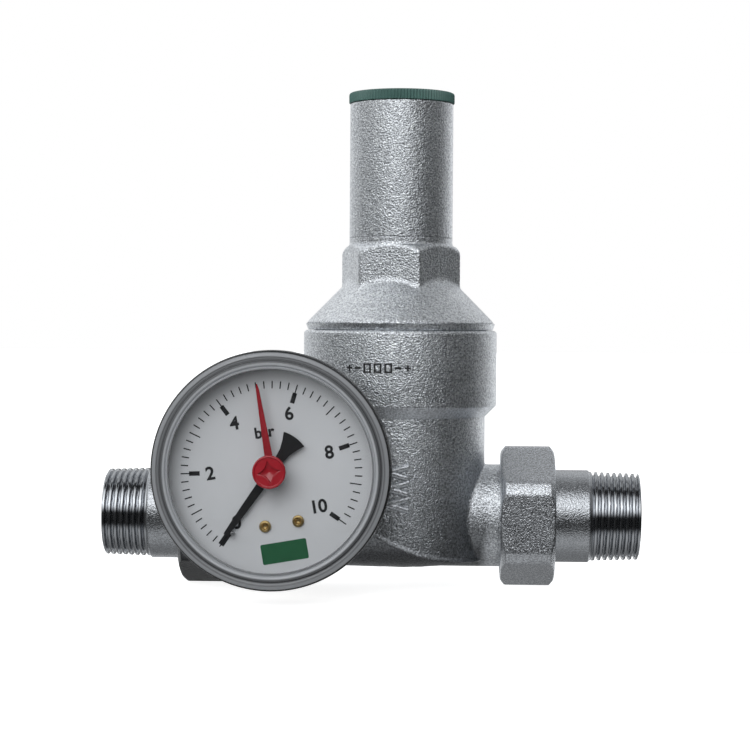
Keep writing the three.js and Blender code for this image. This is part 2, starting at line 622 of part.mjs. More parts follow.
function dialScrews() {
  const {
    reach, angles, headRadius, headBack, headFront, shankRadius, shankBack, slot, slotDepth,
  } = DIAL_SCREW;
  return angles.map((angle, i) => {
    const centre = circlePoint(reach, angle);
    const screw = gaugeSolid(turned([
      [0, shankBack], [shankRadius, shankBack], [shankRadius, headBack], [headRadius, headBack],
      [headRadius, headFront], [0, headFront],
    ], FACETS.tiny), centre);
    const groove = gaugeSolid(block(3 * headRadius, slot, headFront - slotDepth, headFront + 1), centre);
    return piece(`dial_screw_${i + 1}`, carved(screw, groove), 'brass');
  });
}

function stopPin() {
  const { reach, angle, radius, back, front } = STOP_PIN;
  return piece(
    'dial_stop_pin', onGauge(disc(radius, back, front, FACETS.tiny), circlePoint(reach, angle)),
    'steel',
  );
}

function pointer() {
  const p = POINTER;
  const spread = [-1, -0.5, 0, 0.5, 1].map((share) => circlePoint(p.tail, 180 + share * p.tailSpread));
  const blade = [[p.tip, -p.tipHalf], [p.tip, p.tipHalf], [p.root, p.rootHalf], [-p.root, p.rootHalf]];
  const outline = [...blade, ...spread, [-p.root, -p.rootHalf], [p.root, -p.rootHalf]];
  const turn = (geometry) => gaugeSolid(geometry.rotateZ(p.angle * DEG));
  const whole = joined(
    turn(flat(outline, p.back, p.front)), turn(disc(p.hubRadius, p.hubBack, p.hubFront, FACETS.small)),
  );
  const hole = gaugeSolid(disc(p.hole, p.hubBack - 1, p.hubFront + 1, FACETS.tiny));
  return piece('pointer', carved(whole, hole), 'blackPlastic');
}

function markerHand() {
  const m = MARKER;
  const outline = [[0, -m.rootHalf], [m.tip, -m.tipHalf], [m.tip, m.tipHalf], [0, m.rootHalf]];
  const whole = joined(
    gaugeSolid(flat(outline, m.back, m.front).rotateZ(m.angle * DEG)),
    gaugeSolid(disc(m.hubRadius, m.back, m.front, FACETS.small)),
  );
  return piece(
    'marker_hand', carved(whole, gaugeSolid(disc(m.hole, m.back - 1, m.front + 1, FACETS.small))),
    'red',
  );
}

function markerKnob() {
  const m = MARKER;
  const knob = gaugeSolid(turned([
    [0, m.spigotBack], [m.spigotRadius, m.spigotBack], [m.spigotRadius, m.shaftBack],
    [m.shaftRadius, m.shaftBack],
    [m.shaftRadius, m.headBack], [m.headRadius, m.headBack], [m.headRadius, m.headFront - m.edge],
    [m.headRadius - m.edge, m.headFront], [0, m.headFront],
  ], FACETS.small));
  const slots = [[m.slotLength, m.slotWidth], [m.slotWidth, m.slotLength]].map(([u, v]) =>
    gaugeSolid(block(u, v, m.headFront - m.slotDepth, m.headFront + 1)));
  return piece('marker_knob', carved(knob, ...slots), 'red');
}

function gaugeStem() {
  const s = GAUGE_STEM;
  const body = gaugeSolid(turned([
    [0, s.threadBack], [s.threadRadius, s.threadBack], [s.threadRadius, s.hexBack],
    [s.blockRadius, s.hexBack],
    [s.blockRadius, s.blockFront], [0, s.blockFront],
  ], FACETS.small), STEM_CENTRE);
  const hex = gaugeSolid(hexagon(s.hexAcrossFlats, s.hexBack, s.hexFront), STEM_CENTRE);
  const bore = gaugeSolid(disc(s.boreRadius, s.threadBack - OVERCUT, s.boreFront, FACETS.tiny), STEM_CENTRE);
  return piece('gauge_stem', carved(joined(body, hex), bore), 'brass');
}

function sealWasher() {
  const { outerRadius, innerRadius, back, front } = SEAL_WASHER;
  return piece(
    'gauge_seal_washer',
    onGauge(ring(innerRadius, outerRadius, back, front, FACETS.small), STEM_CENTRE), 'fibre',
  );
}

function bourdonTube() {
  const { radius, startAngle, sweep, width, thickness, depth, steps } = BOURDON;
  const path = new Arc(radius, startAngle, -sweep, depth);
  return piece('bourdon_tube', onGauge(swept(stripSection(width, thickness), path, steps)), 'brass');
}

function movementFrame() {
  const { backPlate, frontPlate, postRadius, posts, outline, pivotHole } = MOVEMENT;
  const plates = [backPlate, frontPlate].map(([low, high]) => gaugeSolid(flat(outline, low, high)));
  const pillars = posts.map(
    (centre) => gaugeSolid(disc(postRadius, backPlate[0], frontPlate[1], FACETS.tiny), centre),
  );
  const pivots = [[0, 0], SECTOR_PIVOT].map((centre) =>
    gaugeSolid(disc(pivotHole, backPlate[0] - 1, frontPlate[1] + 1, FACETS.tiny), centre));
  const screwHoles = DIAL_SCREW.angles.map((angle) =>
    gaugeSolid(
      disc(DIAL_SCREW.hole, frontPlate[0] - 1, frontPlate[1] + 1, FACETS.tiny),
      circlePoint(DIAL_SCREW.reach, angle),
    ));
  return piece('movement_frame', carved(joined(...plates, ...pillars), ...pivots, ...screwHoles), 'brass');
}

// Outline of one tooth about a gear centre, root to root.
function toothOutline(teeth, angle) {
  const pitchRadius = (GEARS.module * teeth) / 2;
  const pitchAngle = 360 / teeth;
  const [root, tip] = [pitchRadius - GEARS.dedendum, pitchRadius + GEARS.addendum];
  return [
    circlePoint(root, angle - GEARS.rootShare * pitchAngle),
    circlePoint(tip, angle - GEARS.tipShare * pitchAngle),
    circlePoint(tip, angle + GEARS.tipShare * pitchAngle),
    circlePoint(root, angle + GEARS.rootShare * pitchAngle),
  ];
}

function pinionArbor() {
  const { radius, back, front, pinionBack, pinionFront } = ARBOR;
  const pitchAngle = 360 / GEARS.pinionTeeth;
  const outline = Array.from({ length: GEARS.pinionTeeth }, (_, i) =>
    toothOutline(GEARS.pinionTeeth, GEARS.pivotAngle + (i + 0.5) * pitchAngle)).flat();
  const whole = joined(
    gaugeSolid(flat(outline, pinionBack, pinionFront)), gaugeSolid(disc(radius, back, front, FACETS.tiny)),
  );
  return piece('pinion_arbor', whole, 'brass');
}

function sectorGear() {
  const { back, front, hubRadius, arborRadius, tailHalf, eyeRadius, pinRadius } = SECTOR;
  const pitchAngle = 360 / GEARS.sectorTeeth;
  const outline = [[0, 0]];
  for (let k = GEARS.lastTooth; k >= GEARS.firstTooth; k -= 1) {
    outline.push(...toothOutline(GEARS.sectorTeeth, 180 + GEARS.pivotAngle - k * pitchAngle));
  }
  const tail = [[0, -tailHalf], [SECTOR.tailLength, -tailHalf], [SECTOR.tailLength, tailHalf], [0, tailHalf]];
  return piece('sector_gear', joined(
    gaugeSolid(flat(outline, back, front), SECTOR_PIVOT),
    gaugeSolid(flat(tail, back, front), SECTOR_PIVOT),
    gaugeSolid(disc(hubRadius, back, front, FACETS.small), SECTOR_PIVOT),
    gaugeSolid(disc(arborRadius, ARBOR.back, MOVEMENT.frontPlate[1], FACETS.tiny), SECTOR_PIVOT),
    gaugeSolid(disc(eyeRadius, back, front, FACETS.tiny), TAIL_PIN),
    gaugeSolid(disc(pinRadius, LINK.back, front, FACETS.tiny), TAIL_PIN),
  ), 'brass');
}

function gaugeLink() {
  const { back, front, half, eyeRadius, hole, tipAngle } = LINK;
  const tip = circlePoint(BOURDON.radius, tipAngle);
  const [du, dv] = [tip[0] - TAIL_PIN[0], tip[1] - TAIL_PIN[1]];
  const length = Math.hypot(du, dv);
  const bar = flat([[0, -half], [length, -half], [length, half], [0, half]], back, front);
  const whole = joined(
    gaugeSolid(bar.rotateZ(Math.atan2(dv, du)), TAIL_PIN),
    ...[TAIL_PIN, tip].map((centre) => gaugeSolid(disc(eyeRadius, back, front, FACETS.tiny), centre)),
  );
  const holes = [TAIL_PIN, tip].map(
    (centre) => gaugeSolid(disc(hole, back - 1, front + 1, FACETS.tiny), centre),
  );
  return piece('gauge_link', carved(whole, ...holes), 'steel');
}

function hairspring() {
  const { innerRadius, outerRadius, turns, steps, width, thickness, depth } = HAIRSPRING;
  const path = new Helix({ radius: innerRadius, endRadius: outerRadius, bottom: depth, top: depth, turns });
  return piece('hairspring', onGauge(swept(stripSection(width, thickness), path, steps * turns)), 'steel');
}

function gaugePieces() {
  return [
    gaugeStem(), sealWasher(), gaugeCase(), piece('gauge_window', onGauge(turned(WINDOW)), 'clear'),
    gaugeDial(), ...dialScrews(), stopPin(), pointer(), markerHand(), markerKnob(),
    bourdonTube(), movementFrame(), sectorGear(), pinionArbor(), gaugeLink(), hairspring(),
  ];
}

const valve = new THREE.Group();
valve.name = 'pressure_reducing_valve';
valve.add(
  castBody(), bellHousing(), adjusterCap(), adjustingScrew(), thrustWasher(), springNut(),
  ...regulatingPieces(), ...unionPieces(), ...gaugePieces(),
);

export default valve;
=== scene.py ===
# A diaphragm pressure reducing valve with union tails and a back-entry pressure gauge.
# Sizes are in millimetres in the tables below and become metres where meshes are made.
# X runs along the pipe towards the inlet, Z up the adjuster, and the gauge faces -Y.
import json
import math
from types import SimpleNamespace as Table

import bpy
import numpy as np
from mathutils import Matrix, Vector


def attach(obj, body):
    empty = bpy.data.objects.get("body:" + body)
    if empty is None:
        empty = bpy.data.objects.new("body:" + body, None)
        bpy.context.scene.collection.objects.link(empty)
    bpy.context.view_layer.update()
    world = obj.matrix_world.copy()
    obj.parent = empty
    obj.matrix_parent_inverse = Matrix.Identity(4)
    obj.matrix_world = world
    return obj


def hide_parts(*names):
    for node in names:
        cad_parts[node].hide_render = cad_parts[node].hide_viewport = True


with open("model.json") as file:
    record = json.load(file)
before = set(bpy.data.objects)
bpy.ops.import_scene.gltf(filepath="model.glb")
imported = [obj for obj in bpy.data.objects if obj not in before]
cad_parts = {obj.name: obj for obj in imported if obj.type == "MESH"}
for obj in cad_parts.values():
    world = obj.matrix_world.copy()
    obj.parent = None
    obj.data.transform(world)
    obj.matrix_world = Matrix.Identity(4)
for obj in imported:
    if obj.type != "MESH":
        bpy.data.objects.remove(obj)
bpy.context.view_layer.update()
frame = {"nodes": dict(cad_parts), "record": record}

MM = 0.001
TAU = 2 * math.pi

# ---- camera ----
CAMERA = Table(target=(-7.5, 0.0, 41.6), distance=616.0, azimuth=2.5, elevation=1.3, roll=0.38, lens=98.9)


def unit_from(azimuth, elevation):
    """The direction from the target to a viewer at that azimuth and elevation, in degrees."""
    a, e = math.radians(azimuth), math.radians(elevation)
    return Vector((math.sin(a) * math.cos(e), -math.cos(a) * math.cos(e), math.sin(e)))


def add_camera():
    target = Vector(CAMERA.target) * MM
    away = unit_from(CAMERA.azimuth, CAMERA.elevation)
    data = bpy.data.cameras.new("camera")
    data.lens = CAMERA.lens
    data.clip_end = 10.0
    camera = bpy.data.objects.new("camera", data)
    turn = away.to_track_quat("Z", "Y").to_matrix().to_4x4()
    roll = Matrix.Rotation(math.radians(CAMERA.roll), 4, "Z")
    camera.matrix_world = Matrix.Translation(target + away * CAMERA.distance * MM) @ turn @ roll
    bpy.context.scene.collection.objects.link(camera)
    bpy.context.scene.camera = camera


# ---- materials ----
class Tree:
    """A node tree, with short calls to add and join nodes."""

    def __init__(self, tree):
        self.tree = tree

    def add(self, kind, inputs=None, **settings):
        node = self.tree.nodes.new(kind)
        for key, value in settings.items():
            setattr(node, key, value)
        for key, value in (inputs or {}).items():
            self.put(node.inputs[key], value)
        return node

    def put(self, socket, value):
        if isinstance(value, bpy.types.NodeSocket):
            self.tree.links.new(value, socket)
        else:
            socket.default_value = value


SOCKETS = dict(color="Base Color", roughness="Roughness", metallic="Metallic", normal="Normal",
               alpha="Alpha", coat="Coat Weight")


class Nodes(Tree):
    """A material's node tree, with short calls for its textures and its shader."""

    def __init__(self, name):
        self.material = bpy.data.materials.new(name)
        self.material.use_nodes = True
        super().__init__(self.material.node_tree)
        self.shader = self.tree.nodes["Principled BSDF"]
        self.place = self.add("ShaderNodeTexCoord").outputs["Object"]

    def noise(self, scale, detail=2.0, roughness=0.5):
        inputs = {"Vector": self.place, "Scale": scale, "Detail": detail, "Roughness": roughness}
        return self.add("ShaderNodeTexNoise", inputs).outputs["Fac"]

    def lines(self, scale):
        """Noise drawn out into fine lines, by a scale along each of X, Y and Z."""
        stretch = self.add("ShaderNodeMapping", {"Vector": self.place, "Scale": scale})
        inputs = {"Vector": stretch.outputs["Vector"], "Scale": 1.0, "Detail": 1.0}
        return self.add("ShaderNodeTexNoise", inputs).outputs["Fac"]

    def ramp(self, factor, low, high):
        """A colour ramp from (position, colour) low to (position, colour) high."""
        node = self.add("ShaderNodeValToRGB", {"Fac": factor})
        for element, (position, colour) in zip(node.color_ramp.elements, (low, high)):
            element.position = position
            element.color = (*colour, 1.0)
        return node.outputs["Color"]

    def level(self, factor, low, high):
        """Maps a 0 to 1 value onto the range low to high."""
        inputs = {"Value": factor, "To Min": low, "To Max": high}
        return self.add("ShaderNodeMapRange", inputs).outputs["Result"]

    def share(self, value, start, end, low):
        """Maps a value between start and end onto the range low to 1."""
        inputs = {"Value": value, "From Min": start, "From Max": end, "To Min": low}
        return self.add("ShaderNodeMapRange", inputs).outputs["Result"]

    def bump(self, height, strength, distance, below=None):
        inputs = {"Height": height, "Strength": strength, "Distance": distance}
        if below is not None:
            inputs["Normal"] = below
        return self.add("ShaderNodeBump", inputs).outputs["Normal"]

    def shade(self, **values):
        for key, value in values.items():
            self.put(self.shader.inputs[SOCKETS[key]], value)
        return self.material


def grey(value, tint=(1.0, 1.0, 1.0)):
    return tuple(value * t for t in tint)


COOL = (0.97, 1.0, 1.045)


# Faces that look down are dimmed, to stand in for dark surroundings below, not for duller plating:
# the range of the normal's Z, and the brightness left.
FACING_DOWN = (-0.7, -0.03, 0.25)
# The inlet neck keeps its full brightness: where that starts and is complete along X.
BRIGHT_NECK = (23.0, 27.0)


def dulled(n, colour, low, high, left):
    """Dims a colour as painted shade: with height, to the share left at the low height and not at all at
    the high one, and where faces look down, except on the inlet neck.
    """
    place = n.add("ShaderNodeSeparateXYZ", {"Vector": n.place}).outputs
    normal = n.add("ShaderNodeNewGeometry").outputs["Normal"]
    facing = n.add("ShaderNodeSeparateXYZ", {"Vector": normal}).outputs
    by_height = n.share(place["Z"], low * MM, high * MM, left)
    by_length = n.share(place["X"], BRIGHT_NECK[0] * MM, BRIGHT_NECK[1] * MM, 0.0)
    by_facing = n.share(facing["Z"], *FACING_DOWN)
    barrel = n.add("ShaderNodeMath", {0: by_height, 1: by_facing}, operation="MULTIPLY")
    share = n.add("ShaderNodeMath", {0: barrel.outputs[0], 1: by_length}, operation="MAXIMUM")
    scaled = n.add("ShaderNodeVectorMath", {0: colour, "Scale": share.outputs[0]}, operation="SCALE")
    return scaled.outputs["Vector"]


def blasted_nickel(name, grain=2150.0, depth=0.00023, light=1.0, dark=0.48, rough=0.26, shade_low_down=None):
    """Nickel plate over sand-blasted brass: orange-peel grain with darker specks at random, painted to
    stand in for shade in its hollows.

    The argument for painted shade low down, if given, holds the low height, the high height and the share
    left, for the function that paints that shade.
    """
    n = Nodes(name)
    coarse = n.noise(grain, 1.0, 0.5)
    fine = n.noise(grain * 2.3, 1.0, 0.5)
    broad = n.noise(90.0, 3.0, 0.6)
    # Darker specks at random: painted shade for the grain's hollows.
    speckle = n.noise(grain * 0.8, 2.0, 0.7)
    wave = n.bump(broad, 0.2, 0.0008)
    peel = n.bump(coarse, 1.0, depth, wave)
    normal = n.bump(fine, 1.0, depth * 0.35, peel)
    colour = n.ramp(speckle, (0.38, grey(dark, COOL)), (0.60, grey(light, COOL)))
    # Painted shade: darker towards the bottom and where faces look down, except on the inlet neck.
    if shade_low_down:
        colour = dulled(n, colour, *shade_low_down)
    return n.shade(color=colour, metallic=1.0, roughness=n.level(broad, rough, rough + 0.1), normal=normal)


def turned_nickel(name):
    """Nickel plate over turned brass: fine lathe lines round the pipe axis, bright and even."""
    n = Nodes(name)
    # The light tone is set well below the blasted nickel's, as painted shade on the threads.
    light, rough = 0.47, 0.07
    cloud = n.noise(160.0, 3.0)
    normal = n.bump(n.lines((5200.0, 40.0, 40.0)), 0.06, 0.00003)
    colour = n.ramp(cloud, (0.3, grey(light * 0.88, COOL)), (0.7, grey(light, COOL)))
    return n.shade(color=colour, metallic=1.0, roughness=n.level(cloud, rough, rough + 0.06), normal=normal)


def moulded(name, colour, roughness, grain=3200.0, strength=0.12, vary=0.12, **more):
    """Moulded plastic or rubber: faint texture, faint unevenness of colour and gloss."""
    n = Nodes(name)
    cloud = n.noise(220.0, 3.0)
    shade = n.ramp(cloud, (0.25, tuple(c * (1 - vary) for c in colour)), (0.75, colour))
    normal = n.bump(n.noise(grain, 2.0), strength, 0.00005)
    return n.shade(color=shade, roughness=n.level(cloud, roughness - 0.05, roughness + 0.05),
                   normal=normal, **more)


def machined(name, colour):
    """Machined or drawn metal with fine scratches and slight tarnish."""
    n = Nodes(name)
    tarnish = n.noise(260.0, 3.0)
    shade = n.ramp(tarnish, (0.3, tuple(c * 0.78 for c in colour)), (0.7, colour))
    normal = n.bump(n.lines((300.0, 300.0, 6000.0)), 0.15, 0.00004)
    return n.shade(color=shade, metallic=1.0, roughness=n.level(tarnish, 0.28, 0.4), normal=normal)


# The gauge stands on a port of the belly, offset up from it along a line that is tilted in degrees.
GAUGE = Table(port_x=-30.4, offset=16.8, tilt=9.8)
TILT = math.radians(GAUGE.tilt)
GAUGE_CENTRE = (GAUGE.port_x - GAUGE.offset * math.sin(TILT), GAUGE.offset * math.cos(TILT))

# Painted tones that stand in for refraction in the clear rim.
# Tones of the bezel: (distance from the gauge axis in millimetres, grey).
RIM_TONES = [
    (27.6, 0.34), (28.0, 0.22), (28.3, 0.56), (29.2, 0.50), (29.6, 0.13), (30.4, 0.10),
    (30.8, 0.28), (31.1, 0.14), (31.5, 0.34), (32.2, 0.34), (32.4, 0.02), (32.9, 0.02),
]


def ringed_plastic(name):
    """Clear moulded plastic with light and dark rings painted about the gauge axis, standing in for
    refraction in its steps.
    """
    n = Nodes(name)
    centre = (GAUGE_CENTRE[0] * MM, 0.0, GAUGE_CENTRE[1] * MM)
    shifted = n.add("ShaderNodeVectorMath", {0: n.place, 1: centre}, operation="SUBTRACT")
    flat = n.add("ShaderNodeVectorMath", {0: shifted.outputs[0], 1: (1.0, 0.0, 1.0)}, operation="MULTIPLY")
    radius = n.add("ShaderNodeVectorMath", {0: flat.outputs[0]}, operation="LENGTH").outputs["Value"]
    low, high = RIM_TONES[0][0], RIM_TONES[-1][0]
    ramp = n.add("ShaderNodeValToRGB", {"Fac": n.share(radius, low * MM, high * MM, 0.0)})
    for distance, _ in RIM_TONES[1:-1]:
        ramp.color_ramp.elements.new((distance - low) / (high - low))
    for element, (_, tone) in zip(ramp.color_ramp.elements, RIM_TONES):
        element.color = (*grey(tone, COOL), 1.0)
    scratches = n.bump(n.noise(900.0, 2.0), 0.1, 0.00003)
    rough = n.level(n.noise(200.0), 0.10, 0.18)
    return n.shade(color=ramp.outputs["Color"], roughness=rough, normal=scratches, alpha=0.8)


def make_materials():
    return Table(
        # The nickels below are one plating: grain and gloss follow each finish, but their different
        # brightnesses are painted light and shade, set part by part.
        blasted_nickel=blasted_nickel("blasted_nickel"),
        # The body's nickel is painted darker towards the bottom and where it faces down: painted shade.
        body_nickel=blasted_nickel("body_nickel", shade_low_down=(-15.0, 16.0, 0.5)),
        # Smoother nickel for the raised chevrons and the collar's chamfer, with a brightness of its own
        # that is painted light and shade.
        worn_nickel=blasted_nickel("worn_nickel", 2150.0, 0.00014, 0.8, 0.45, 0.3),
        union_nickel=blasted_nickel("union_nickel", 2400.0, 0.00016, 0.74, 0.44, 0.2),
        # The outlet nut's nickel is painted darker towards the bottom and where it faces down: painted
        # shade for the gauge's shadow on it.
        dull_nickel=blasted_nickel("dull_nickel", 2400.0, 0.00016, 0.74, 0.44, shade_low_down=(-14.0, 2.0, 0.25)),
        shank_nickel=blasted_nickel("shank_nickel", 2300.0, 0.00011, 0.56, 0.44, 0.2),
        polished_nickel=turned_nickel("polished_nickel"),
        green_plastic=moulded("green_plastic", (0.098, 0.19, 0.17), 0.38, vary=0.2),
        brass=machined("brass", (0.68, 0.49, 0.21)),
        steel=machined("steel", (0.52, 0.53, 0.54)),
        rubber=moulded("rubber", (0.022, 0.022, 0.023), 0.7),
        acetal=moulded("acetal", (0.68, 0.67, 0.61), 0.45),
        fibre=moulded("fibre", (0.20, 0.065, 0.035), 0.8, grain=1800.0, strength=0.5, vary=0.4),
        black_plastic=moulded("black_plastic", (0.012, 0.012, 0.013), 0.32),
        dial_white=moulded("dial_white", (0.70, 0.72, 0.745), 0.6, strength=0.04, vary=0.03),
        red_plastic=moulded("red_plastic", (0.36, 0.014, 0.024), 0.25, strength=0.05, vary=0.2, coat=0.4),
        clear_plastic=moulded("clear_plastic", (0.05, 0.052, 0.055), 0.05, strength=0.0, vary=0.05,
                              alpha=0.06),
        clear_rim=ringed_plastic("clear_rim"),
        print_black=moulded("print_black", (0.012, 0.012, 0.014), 0.5, strength=0.02),
        print_green=moulded("print_green", (0.012, 0.115, 0.045), 0.5, strength=0.02),
        ink_black=moulded("ink_black", (0.02, 0.02, 0.022), 0.55, strength=0.3),
    )


# ---- meshes ----
def make_object(name, points, faces, material, body, replaces=(), smooth_angle=None):
    """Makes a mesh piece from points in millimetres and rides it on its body.

    Edges sharper than smooth_angle degrees stay sharp; without one, every face is flat.
    """
    mesh = bpy.data.meshes.new(name)
    mesh.from_pydata((np.asarray(points, float) * MM).tolist(), [], [list(map(int, f)) for f in faces])
    mesh.validate()
    piece = bpy.data.objects.new(name, mesh)
    bpy.context.scene.collection.objects.link(piece)
    mesh.materials.append(material)
    mesh.polygons.foreach_set("use_smooth", [smooth_angle is not None] * len(mesh.polygons))
    mesh.update()
    if smooth_angle is not None:
        mesh.set_sharp_from_angle(angle=math.radians(smooth_angle))
    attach(piece, body)
    if replaces:
        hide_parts(*replaces)


def grid_faces(rows, columns):
    """Quads of a rows by columns grid of points that closes round both its rows and its columns."""
    return [
        (r * columns + c, r * columns + (c + 1) % columns,
         (r + 1) % rows * columns + (c + 1) % columns, (r + 1) % rows * columns + c)
        for r in range(rows) for c in range(columns)
    ]


def rounded(outline, fillet, steps=4):
    """A closed outline with its corners rounded by arc-like curves.

    fillet is how far a curve reaches along the sides, and a point's third number stands in for it.
    """
    points = [np.array(p[:2], float) for p in outline]
    result = []
    for i, here in enumerate(points):
        size = outline[i][2] if len(outline[i]) > 2 else fillet
        if size <= 0:
            result.append(tuple(here))
            continue
        back, on = points[i - 1] - here, points[(i + 1) % len(points)] - here
        reach = min(size, 0.45 * np.linalg.norm(back), 0.45 * np.linalg.norm(on))
        start = here + back / np.linalg.norm(back) * reach
        end = here + on / np.linalg.norm(on) * reach
        for k in range(steps + 1):
            t = k / steps
            result.append(tuple((1 - t) ** 2 * start + 2 * t * (1 - t) * here + t * t * end))
    return result


def lathe(outline, segments, axis="Z", radius_of=None):
    """Turns a closed outline of (radius, height) about an axis.

    radius_of(radius, height, angle), if given, returns the radii to use instead.
    """
    profile = np.array(outline, float)
    area = np.sum(profile[:, 0] * np.roll(profile[:, 1], -1) - np.roll(profile[:, 0], -1) * profile[:, 1])
    if area < 0:
        profile = profile[::-1]
    angle = np.arange(segments) * TAU / segments
    radius, height = np.repeat(profile[:, :1], segments, 1), np.repeat(profile[:, 1:2], segments, 1)
    turn = np.repeat(angle[None, :], len(profile), 0)
    if radius_of:
        radius = radius_of(radius, height, turn)
    a, b = radius * np.cos(turn), radius * np.sin(turn)
    order = {"Z": (a, b, height), "X": (height, a, b)}[axis]
    points = np.stack([o.ravel() for o in order], 1)
    return points, grid_faces(len(profile), segments)


# A solid given by a distance field: negative inside. Fields take arrays x, y, z in millimetres.
def smooth_union(a, b, size):
    h = np.clip(0.5 + 0.5 * (b - a) / size, 0, 1)
    return b * (1 - h) + a * h - size * h * (1 - h)


def smooth_cut(a, tool, size):
    return -smooth_union(-a, tool, size)


def capped(radial, axial_low, axial_high, round_edge):
    """Joins a sideways distance with two end planes into one distance, with rounded edges."""
    axial = np.maximum(axial_low, axial_high)
    q = np.maximum(radial + round_edge, 0), np.maximum(axial + round_edge, 0)
    inside = np.minimum(np.maximum(radial, axial) + round_edge, 0)
    return np.hypot(*q) + inside - round_edge


def rod(radial, along, radius, low, high, edge=0.5):
    return capped(radial - radius, low - along, along - high, edge)


def hexagon_distance(a, b, across_flats, corner_angle, corner_round):
    """Distance to a round-cornered hexagon in the a, b plane, with a corner at corner_angle degrees."""
    sector = TAU / 6
    turn = np.arctan2(b, a) - math.radians(corner_angle)
    folded = turn - sector * np.floor(turn / sector) - sector / 2
    reach = np.hypot(a, b)
    out, aside = reach * np.cos(folded), np.abs(reach * np.sin(folded))
    half = across_flats / 2 - corner_round
    edge = half * math.tan(sector / 2)
    beyond = np.maximum(aside - edge, 0)
    distance = np.where(beyond > 0, np.hypot(np.maximum(out - half, 0), beyond), out - half)
    return distance - corner_round


def field_gradient(field, points, h=0.02):
    steps = np.eye(3) * h
    return np.stack([(field(*(points + s).T) - field(*(points - s).T)) / (2 * h) for s in steps], 1)


def add_crossings(axis, crossed, share, total, centre):
    """Adds the crossings on the grid edges along an axis to the four cells round each edge."""
    a, b = [i for i in range(3) if i != axis]
    for da, db in ((0, 0), (0, 1), (1, 0), (1, 1)):
        part = [slice(None)] * 3
        part[a] = slice(da, da + total.shape[a])
        part[b] = slice(db, db + total.shape[b])
        hit = crossed[tuple(part)]
        total += hit
        centre[..., axis] += hit * share[tuple(part)]
        centre[..., a] += hit * da
        centre[..., b] += hit * db


def net_faces(inside, crossings, number):
    """One quad round each grid edge that the surface crosses, facing out of the solid."""
    faces = []
    for axis, crossed in enumerate(crossings):
        one, two = [(1, 2), (2, 0), (0, 1)][axis]
        where = np.argwhere(crossed)
        inner = (where[:, one] > 0) & (where[:, two] > 0)
        inner &= (where[:, one] < number.shape[one]) & (where[:, two] < number.shape[two])
        where = where[inner]
        shift = [np.zeros(3, int) for _ in range(4)]
        shift[0][one] = shift[0][two] = shift[1][two] = shift[3][one] = -1
        quad = np.stack([number[tuple((where + s).T)] for s in shift], 1)
        flip = ~inside[tuple(where.T)]
        quad[flip] = quad[flip][:, ::-1]
        faces.append(quad)
    return np.concatenate(faces)


def surface_net(field, low, high, step):
    """Meshes where a field is zero: one point in each cell that the surface crosses, drawn onto it."""
    low, high = np.array(low, float), np.array(high, float)
    counts = np.ceil((high - low) / step).astype(int) + 1
    axes = [low[i] + step * np.arange(counts[i]) for i in range(3)]
    value = field(*np.meshgrid(*axes, indexing="ij")).astype(np.float32)
    inside = value < 0
    cells = tuple(c - 1 for c in counts)
    total, centre = np.zeros(cells, np.float32), np.zeros((*cells, 3), np.float32)
    crossings = []
    for axis in range(3):
        nearer, further = [slice(None)] * 3, [slice(None)] * 3
        nearer[axis], further[axis] = slice(None, -1), slice(1, None)
        near, far = value[tuple(nearer)], value[tuple(further)]
        crossed = inside[tuple(nearer)] != inside[tuple(further)]
        share = np.where(crossed, near / np.where(crossed, near - far, 1), 0).astype(np.float32)
        crossings.append(crossed)
        add_crossings(axis, crossed, share, total, centre)
    used = total > 0
    number = np.full(cells, -1, np.int64)
    number[used] = np.arange(used.sum())
    points = low + step * (np.argwhere(used) + centre[used] / total[used][:, None])
    return settle(field, points, step), net_faces(inside, crossings, number)


def settle(field, points, step):
    """Draws points onto the surface along the field's slope, in three capped moves."""
    for _ in range(3):
        slope = field_gradient(field, points)
        length = np.maximum(np.sum(slope * slope, 1), 0.05)
        move = slope * (field(*points.T) / length)[:, None]
        size = np.linalg.norm(move, axis=1, keepdims=True)
        points = points - move * np.minimum(1, 0.4 * step / np.maximum(size, 1e-9))
    return points


def field_object(name, field, low, high, step, material, body, replaces=()):
    points, faces = surface_net(field, low, high, step)
    make_object(name, points, faces, material, body, replaces, 50)


# ---- casting ----
# under the barrel, arc_x, arc_z and arc_r are the centre and radius of the foot's curve in X and Z
BODY = Table(
    collar_r=28.75, collar_top=55.0, collar_low=32.9, barrel_r=25.4, barrel_top=29.6,
    arc_x=25.0, arc_z=49.9, arc_r=62.3, foot_edge_r=0.5, foot_edge_end=24.0,
    neck_r=13.9, relief_r=15.2, thread_r=16.6, thread_pitch=2.309, thread_depth=1.15,
    duct_r=10.0, duct_start=20.5, boss_r=9.5, boss_face=23.0, port_r=6.7, port_floor=8.0,
    thread_bore=19.8, collar_bore=21.5, collar_step=34.0, bell_bore=25.8, bell_seat=42.0,
)
# The horizontal pipe's outline, as X and radius.
BELLY = [(14.0, 13.3), (11.5, 14.8), (7.0, 15.5), (1.5, 15.8), (-9.0, 15.5), (-15.0, 15.3), (-48.6, 15.2)]
# The two ends: side is the direction along X, and the rest are distances from the middle.
UNIONS = dict(
    inlet=Table(side=1, nut=(30.1, 46.1), spigot=39.0, shank=56.3, face=71.2),
    outlet=Table(side=-1, nut=(48.6, 64.6), spigot=57.5, shank=74.0, face=87.7),
)
CHEVRONS = Table(tip=-2.6, end=3.7, half=1.7, thick=0.85, heights=(5.0, 9.6, 14.2))


